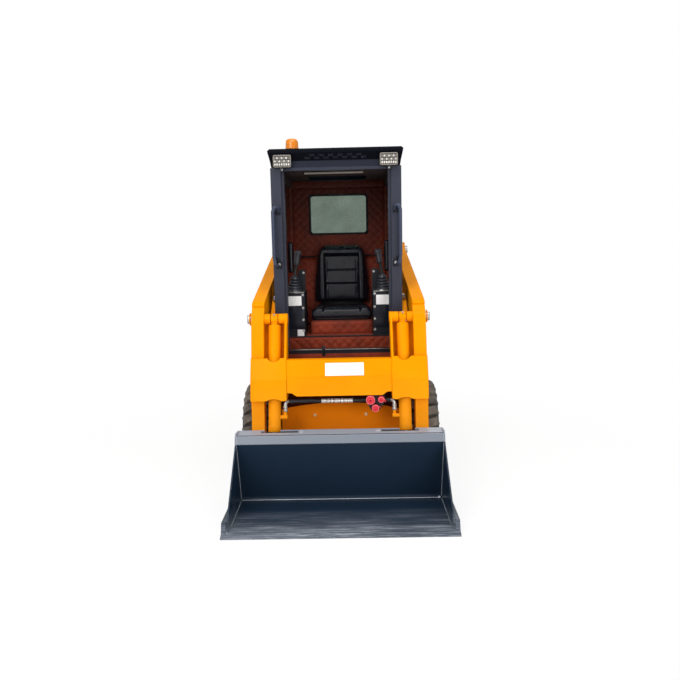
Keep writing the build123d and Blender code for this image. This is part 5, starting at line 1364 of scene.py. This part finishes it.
class LOADER_OT_arm_fittings(bpy.types.Operator):
    """Pin ends, leg pin keepers, grease nipples, weld beads and the beam's lapped plate on the arms"""
    bl_idname = "loader.arm_fittings"
    bl_label = "Arm fittings"

    def execute(self, context):
        weld = context.scene.loader_sizes.weld / MM
        rim = turned([(0.0, 15.0), (0.0, 27.0), (2.0, 27.4), (5.0, 26.0), (5.5, 22.0), (5.0, 17.5), (1.0,
                                                                                                     16.0)],
                     (553.5, -395.0, 1045.0), (1, 0, 0), 40)
        coated(rim, "pin_steel")
        # painted shade: a black disc in each pin end's bore, for the shade inside it
        bore_shade = coated(turned([(0.2, 16.5), (0.7, 16.5), (0.8, 0.0)], (553.5, -395.0, 1045.0), (1, 0, 0), 24),
                      "floor_black")
        stop = turned([(0.0, 0.0), (0.0, 38.0), (5.0, 38.0), (6.0, 37.0), (6.0, 0.0)],
                      (538.3, -395.0, 1045.0), (1, 0, 0), 40)
        coated(stop, "body_orange")
        both(joined([rim, bore_shade, stop]), "tilt_pin_ends", "pin_steel", "arms", coat=False)
        # leg pins low down, each with a flanged head and its keeper bolt
        foot = turned([(0.0, 0.0), (0.0, 30.0), (7.0, 30.0), (9.0, 27.0), (9.0, 0.0)],
                      (536.0, -590.0, 170.0), (1, 0, 0), 36)
        keeper = plate([(-572.0, 205.0), (-548.0, 245.0), (-532.0, 236.0), (-556.0, 192.0)],
                       "X", 538.2, 544.0, 1.0)
        screw = hexagon(8.0)
        screw.data.transform(facing((544.0, -544.0, 232.0), (1, 0, 0)))
        both(joined([foot, keeper, screw]), "leg_pin_keepers", "pin_steel", "arms")
        nipple = [(0.0, 5.0), (3.0, 5.0), (3.0, 3.2), (9.0, 3.2), (10.0, 4.4), (13.0, 4.0), (15.0, 2.4),
                  (15.0, 0.0)]
        spots = [((455.0 + 35.0, 895.0, 1478.0), (0, -0.7, 0.8)), ((392.0, -424.0, 1070.0), (0, -0.6, 0.7)),
                 ((500.0, -612.0, 206.0), (0, -0.9, 0.3))]
        both(joined([turned(nipple, place, way, 12) for place, way in spots]), "grease_nipples",
             "pin_steel", "arms")
        # beads where the cross beam and the plates behind the cylinders meet the legs
        runs = [
            [(317.0, -594.5, 602.0), (317.0, -576.5, 700.0), (317.0, -537.0, 808.0)],
            [(455.0, -376.0, 850.0), (455.0, -150.0, 985.0), (455.0, 60.0, 1150.0)],
        ]
        beads = [bead(run, weld) for run in runs]
        both(joined(beads), "arm_welds", "body_orange", "arms")
        # lapped plate over the beam's lower face, its lower ends cut at the beam's slant
        outline = [(-313.0, 712.0), (-313.0, 621.0), (-286.0, 621.0), (-256.0, 601.0),
                   (256.0, 601.0), (286.0, 621.0), (313.0, 621.0), (313.0, 712.0)]
        lap = plate(outline, "Y", -0.1, -2.6, 0.7, 1)
        for vert in lap.data.vertices:
            vert.co.y += (vert.co.z - 600.0 * MM) * 0.18 - 592.0 * MM
        done(lap, "beam_lap_plate", "body_orange", "arms")
        return {"FINISHED"}


# ---- bucket ---------------------------------------------------------------------
class LOADER_OT_bucket_fittings(bpy.types.Operator):
    """Weld beads in the bucket's corners and along its edges, and the lip's seam, slots and eyes"""
    bl_idname = "loader.bucket_fittings"
    bl_label = "Bucket fittings"

    def execute(self, context):
        weld = context.scene.loader_sizes.weld / MM
        corner = [(587.0, -1096.0, 9.5), (587.0, -735.0, 9.5)]
        back = [(587.0, -724.0, 22.0), (587.0, -812.0, 372.0)]
        lip = [(587.0, -815.0, 383.0), (587.0, -796.0, 419.0)]
        inner = coated(joined([bead(run, weld * 0.45) for run in (corner, back, lip)]), "bare_weld")
        both(inner, "bucket_side_welds", "pin_steel", "bucket", coat=False)
        seam = bead([(-585.0, -1100.5, 9.5), (585.0, -1100.5, 9.5)], weld)
        done(seam, "cutting_edge_weld", "pin_steel", "bucket")
        # painted highlight: a bright weld blob at the fold's right end, for a glint there
        glint_blob = bead([(568.0, -727.0, 15.0), (580.0, -727.0, 15.0)], 7.0)
        seam = coated(joined([bead([(-585.0, -727.0, 13.0), (585.0, -727.0, 13.0)], weld * 0.55), glint_blob]),
                      "bare_weld")
        done(seam, "floor_fold_weld", "pin_steel", "bucket", coat=False)
        outer = [bead([(589.0, -1160.0, 17.5), (589.0, -760.0, 17.5)], weld * 0.8)]
        both(joined(outer), "runner_welds", "bucket_steel", "bucket")
        # painted shade: black blocks at the bottoms of the lip's two slots, beside the cylinders' notches, for
        # the shade inside them
        slot_shade = block((242.0, 343.0), (-744.0, -704.0), (404.0, 421.0), 0.8, 1)
        both(slot_shade, "lip_slot_shade", "floor_black", "bucket")
        fold = bead([(-585.0, -812.5, 377.5), (585.0, -812.5, 377.5)], weld * 0.6)
        done(fold, "lip_weld", "bucket_steel", "bucket")
        gap = tube([(-586.0, -790.0, 421.4), (586.0, -790.0, 421.4)], 2.8, sides=2)
        done(gap, "lip_seam", "floor_black", "bucket")
        turns = [math.tau * i / 24 for i in range(24)]
        eye = tube([(222.0 + 13.5 * math.cos(t), -728.0 + 13.5 * math.sin(t), 423.5) for t in turns],
                   4.2, closed=True, sides=2)
        # painted shade: a black disc in each eye's hole, for the shade inside it
        hole = turned([(0.0, 0.0), (0.0, 11.0), (0.8, 11.0), (0.8, 0.0)], (222.0, -728.0, 421.0), (0, 0,
                                                                                                   1), 24)
        eye = joined([coated(eye, "bare_weld"), coated(hole, "floor_black")])
        both(eye, "lip_eyes", "pin_steel", "bucket", coat=False)
        return {"FINISHED"}


# ---- body -----------------------------------------------------------------------
class LOADER_OT_body_fittings(bpy.types.Operator):
    """Panel, hood and bumper bolts, dark sheet of painted shadow under the nose, hood handle, fuel cap,
    exhaust, door and reflectors
    """
    bl_idname = "loader.body_fittings"
    bl_label = "Body fittings"

    def execute(self, context):
        bolts([(x, -378.2, z) for x in (-161.0, 161.0) for z in (429.0, 220.0)], (0, -1, 0), 7.5,
              "front_panel_bolts", "pin_steel", "chassis", 6.0)
        # painted highlight: the bolts are coated pale zinc for the highlights on their heads
        coated(context.scene.objects["front_panel_bolts"], "zinc")
        bolts([(409.0, y, 1236.0 - (y - 720.0) * 0.27) for y in (730.0, 860.0, 1110.0)],
              (1, 0, 0), 8.0, "hood_bolts_right", "screen_steel", "chassis", 5.0)
        bolts([(-409.0, y, 1236.0 - (y - 720.0) * 0.27) for y in (730.0, 860.0, 1110.0)],
              (-1, 0, 0), 8.0, "hood_bolts_left", "screen_steel", "chassis", 5.0)
        # painted shadow: a dark sheet over the gap between the front sheet and the cab's nose, for the beam's
        # shade there
        shadow_sheet = plate([(-368.0, 640.0), (-368.0, 470.0), (-310.0, 483.0), (-248.0, 493.0), (-121.0, 506.0),
                         (20.0, 508.0), (162.0, 502.0), (281.0, 484.0), (368.0, 462.0), (368.0, 640.0)],
                        "Y", -378.2, -381.2, 0.8, 1)
        coated(shadow_sheet, "shadow_sheet")
        done(shadow_sheet, "nose_shadow_sheet", "hose_rubber", "chassis", coat=False)
        self.hood()
        self.exhaust()
        self.door()
        self.bumper()
        # brackets on the towers' outer faces, each with a red reflector to the rear
        wing = plate([(519.0, 900.0), (576.0, 916.0), (582.0, 930.0), (582.0, 1090.0), (572.0, 1104.0),
                      (519.0, 1110.0)], "Y", 852.0, 857.0, 1.0, 1)
        coated(wing, "body_orange")
        eye = coated(block((530.0, 572.0), (856.8, 862.0), (950.0, 1060.0), 1.5, 2), "red_lens")
        both(joined([wing, eye]), "reflector_brackets", "body_orange", "chassis", coat=False)
        return {"FINISHED"}

    def hood(self):
        """Grab handle and fuel cap on the hood."""
        grip = tube(bent([(-90.0, 1000.0, 1178.0), (-90.0, 1000.0, 1222.0), (90.0, 1000.0, 1222.0),
                          (90.0, 1000.0, 1178.0)], 18.0, 5), 7.0)
        feet = [turned([(0.0, 0.0), (0.0, 16.0), (5.0, 15.0), (6.0, 8.0)], (x, 1000.0, 1184.0), (0, 0, 1), 20)
                for x in (-90.0, 90.0)]
        done(joined([grip, *feet]), "hood_handle", "floor_black", "chassis")
        cap = turned([(0.0, 0.0), (0.0, 42.0), (6.0, 44.0), (22.0, 44.0), (27.0, 40.0), (28.0, 0.0)],
                     (-190.0, 800.0, 1238.0), (0, 0.27, 1), 40)
        ribs = []
        for i in range(16):
            t = math.tau * i / 16
            ribs.append(facing((-190.0 + 44.0 * math.cos(t), 800.0 + 44.0 * math.sin(t), 1252.0),
                               (math.cos(t), math.sin(t), 0.0)))
        rib = block((-9.0, 9.0), (-2.5, 2.5), (-1.0, 2.5), 0.8, 1)
        done(joined([cap, placed(rib, ribs)]), "fuel_cap", "black_plastic", "chassis")

    def exhaust(self):
        """Heat guard, bolted band clamp and rolled mouth of the exhaust pipe."""
        guard = turned([(0.0, 25.2), (0.0, 28.0), (60.0, 28.0), (62.0, 25.2)], (190.0, 800.0, 1256.0),
                       (0, 0, 1), 40)
        clamp = turned([(0.0, 24.2), (0.0, 27.4), (18.0, 27.4), (18.0, 24.2)], (190.0, 800.0, 1338.0),
                       (0, 0, 1), 40)
        ear = hexagon(6.0, 16.0)
        ear.data.transform(facing((190.0, 830.0, 1347.0), (1, 0, 0)))
        mouth = turned([(0.0, 24.0), (2.0, 25.6), (6.0, 25.6), (8.0, 24.0), (7.0, 20.5), (-30.0, 20.5)],
                       (190.0, 800.0, 1392.0), (0, 0, 1), 40)
        done(joined([guard, clamp, ear, mouth]), "exhaust_fittings", "pin_steel", "chassis")

    def door(self):
        """Latch with its paddle, hinge leaves and the grille's screws on the rear door."""
        lock = turned([(0.0, 0.0), (0.0, 17.0), (5.0, 17.0), (7.0, 14.0), (7.0, 0.0)],
                      (345.0, 1162.0, 760.0), (0, 1, 0), 28)
        paddle = block((318.0, 372.0), (1164.0, 1176.0), (700.0, 742.0), 4.0, 2)
        frame_plate = block((306.0, 384.0), (1162.0, 1165.5), (684.0, 786.0), 2.0, 2)
        done(joined([lock, paddle, frame_plate]), "door_latch", "black_plastic", "rear_door")
        leaves = []
        for z in (690.0, 940.0):
            leaves.append(block((-402.0, -340.0), (1162.0, 1166.0), (z - 24.0, z + 24.0), 1.5, 1))
            for x in (-386.0, -356.0):
                head = hexagon(7.0, 5.0)
                head.data.transform(facing((x, 1166.0, z), (0, 1, 0)))
                leaves.append(head)
        done(joined(leaves), "door_hinge_leaves", "screen_steel", "rear_door")
        spots = [facing((x, 1162.3, z), (0, 1, 0)) for x in (-296.0, 0.0, 296.0) for z in (526.0, 1054.0)]
        done(placed(hexagon(6.0, 4.0), spots), "grille_screws", "pin_steel", "rear_door")

    def bumper(self):
        """Bolts of the rear bumper."""
        spots = [facing((x, 1220.0, 290.0), (0, 1, 0)) for x in (-360.0, -300.0, 300.0, 360.0)]
        done(placed(hexagon(12.0, 6.0), spots), "bumper_bolts", "pin_steel", "chassis")


VISOR_LINE = ((-215.0, 2008.0), (-254.0, 2054.0))        # (Y, Z) of the visor slope's foot and brow
SLOT_PITCH = 58.0


class LOADER_OT_cab_fittings(bpy.types.Operator):
    """Door brackets, grab bars, sill, visor rims, header rail, and roof, screen and cab bolts"""
    bl_idname = "loader.cab_fittings"
    bl_label = "Cab fittings"

    def execute(self, context):
        # brackets for the door's hinges, one screw in each
        bracket = plate([(356.0, 1358.0), (390.0, 1362.0), (394.0, 1400.0), (372.0, 1412.0), (352.0, 1384.0)],
                        "Y", -233.0, -225.2, 1.2)
        coated(bracket, "floor_black")
        screw = hexagon(7.0, 6.0)
        screw.data.transform(facing((368.0, -233.0, 1372.0), (0, -1, 0)))
        coated(screw, "pin_steel")
        loop = tube(bent([(386.0, -228.0, 1410.0), (390.0, -250.0, 1420.0), (390.0, -250.0, 1385.0),
                          (384.0, -228.0, 1376.0)], 9.0, 3), 5.0)
        coated(loop, "floor_black")
        both(joined([bracket, screw, loop]), "door_brackets", "floor_black", "chassis", coat=False)
        # handles: round bars with flattened, screwed feet
        feet = []
        for z in (1368.0, 1704.0):
            feet.append(block((352.0, 386.0), (-229.5, -225.2), (z - 22.0, z + 22.0), 2.0, 2))
            for dz in (-15.0, 15.0):
                head = hexagon(4.5, 3.0)
                head.data.transform(facing((356.0, -229.5, z + dz), (0, -1, 0)))
                feet.append(head)
        both(joined(feet), "handle_feet", "screen_steel", "chassis")
        rod = tube(bent([(372.0, -226.0, 1366.0), (388.0, -270.0, 1370.0), (396.0, -272.0, 1420.0),
                         (396.0, -272.0, 1700.0), (384.0, -270.0, 1728.0), (364.0, -252.0, 1726.0),
                         (362.0, -226.0, 1706.0)], 14.0, 6), 10.5, sides=4)
        coated(rod, "grab_bar")
        handle = both(rod, "grab_bars", "screen_steel", "chassis", coat=False)
        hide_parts("grab_handles")
        # sill: bright steel edge, and the latch plate that the front door closes on
        edge = block((-394.0, 394.0), (-321.5, -318.5), (835.0, 838.8), 1.2, 2)
        done(edge, "sill_edge", "pin_steel", "chassis")
        strip = block((-392.0, 392.0), (-321.6, -320.2), (768.0, 811.0), 0.5, 1)
        done(strip, "sill_carpet", "quilted_lining", "chassis")
        keep = block((-108.0, -90.0), (-326.0, -320.2), (796.0, 862.0), 1.5, 2)
        striker = tube(bent([(-99.0, -322.0, 846.0), (-99.0, -338.0, 846.0), (-99.0, -338.0, 812.0),
                             (-99.0, -322.0, 812.0)], 6.0, 4), 3.5)
        done(joined([keep, striker]), "sill_latch", "floor_black", "chassis")
        # pressed rims round the visor's slots, as long and as far apart as they are
        rims = []
        foot, brow = (Vector((0.0, *p)) for p in VISOR_LINE)
        up = (brow - foot).normalized()
        out = Vector((1.0, 0.0, 0.0)).cross(up)
        for count, share in ((7, 0.36), (6, 0.66)):
            middle = foot.lerp(brow, share) + out * 0.8
            for i in range(count):
                centre = middle + Vector(((i - (count - 1) / 2) * SLOT_PITCH, 0.0, 0.0))
                lip = [centre + Vector((a * 13.5, 0.0, 0.0)) + up * b * 4.5
                       for a, b in ((-1, -1), (1, -1), (1, 1), (-1, 1))]
                rims.append(tube(lip, 1.7, closed=True, sides=1))
        done(joined(rims), "visor_slot_rims", "cab_paint", "chassis")
        # pale rail behind the header
        roll = turned([(0.0, 0.0), (0.0, 7.0), (380.0, 7.0), (380.0, 0.0)], (-205.0, -60.0, 1950.0), (1,
                                                                                                      0, 0), 24)
        coated(roll, "blind")
        done(roll, "header_rail", "screen_steel", "chassis", coat=False)
        spots = [facing((side * 403.2, y, z), (side, 0, 0)) for _, side in SIDES
                 for y in (-140.0, 176.0) for z in (1080.0, 1480.0, 1880.0)]
        done(placed(hexagon(5.0, 3.0), spots), "screen_screws", "pin_steel", "chassis")
        spots = [facing((x, y, 2080.0), (0, 0, 1)) for x in (-360.0, 360.0) for y in (230.0, 650.0)]
        done(placed(hexagon(9.0, 6.0), spots), "roof_bolts", "screen_steel", "chassis")
        spots = [facing((side * 407.2, y, z), (side, 0, 0)) for _, side in SIDES
                 for y, z in ((640.0, 900.0), (640.0, 1920.0))]
        done(placed(hexagon(9.0, 6.0), spots), "cab_mount_bolts", "screen_steel", "chassis")
        return {"FINISHED"}


OPERATORS = (
    LOADER_OT_stage,
    LOADER_OT_paint,
    LOADER_OT_tyres,
    LOADER_OT_wheel_fittings,
    LOADER_OT_seat,
    LOADER_OT_armrests,
    LOADER_OT_linings,
    LOADER_OT_consoles,
    LOADER_OT_rear_window,
    LOADER_OT_lamps,
    LOADER_OT_hydraulics,
    LOADER_OT_cylinders,
    LOADER_OT_arm_fittings,
    LOADER_OT_bucket_fittings,
    LOADER_OT_body_fittings,
    LOADER_OT_cab_fittings,
)


class LOADER_PT_panel(bpy.types.Panel):
    """Lists the settings and the steps in the sidebar"""
    bl_idname = "LOADER_PT_panel"
    bl_label = "Skid steer loader"
    bl_space_type = "VIEW_3D"
    bl_region_type = "UI"
    bl_category = "Loader"

    def draw(self, context):
        layout = self.layout
        for settings in (context.scene.loader_colours, context.scene.loader_sizes):
            box = layout.box()
            for key in settings.__annotations__:
                box.prop(settings, key)
        for step in OPERATORS:
            layout.operator(step.bl_idname)


CLASSES = (LoaderColours, LoaderSizes, *OPERATORS, LOADER_PT_panel)


def register():
    for cls in CLASSES:
        bpy.utils.register_class(cls)
    bpy.types.Scene.loader_colours = bpy.props.PointerProperty(type=LoaderColours)
    bpy.types.Scene.loader_sizes = bpy.props.PointerProperty(type=LoaderSizes)


def unregister():
    del bpy.types.Scene.loader_colours
    del bpy.types.Scene.loader_sizes
    for cls in reversed(CLASSES):
        bpy.utils.unregister_class(cls)


def main():
    register()
    for step in OPERATORS:
        group, name = step.bl_idname.split(".")
        getattr(getattr(bpy.ops, group), name)()


if __name__ == "__main__":
    main()
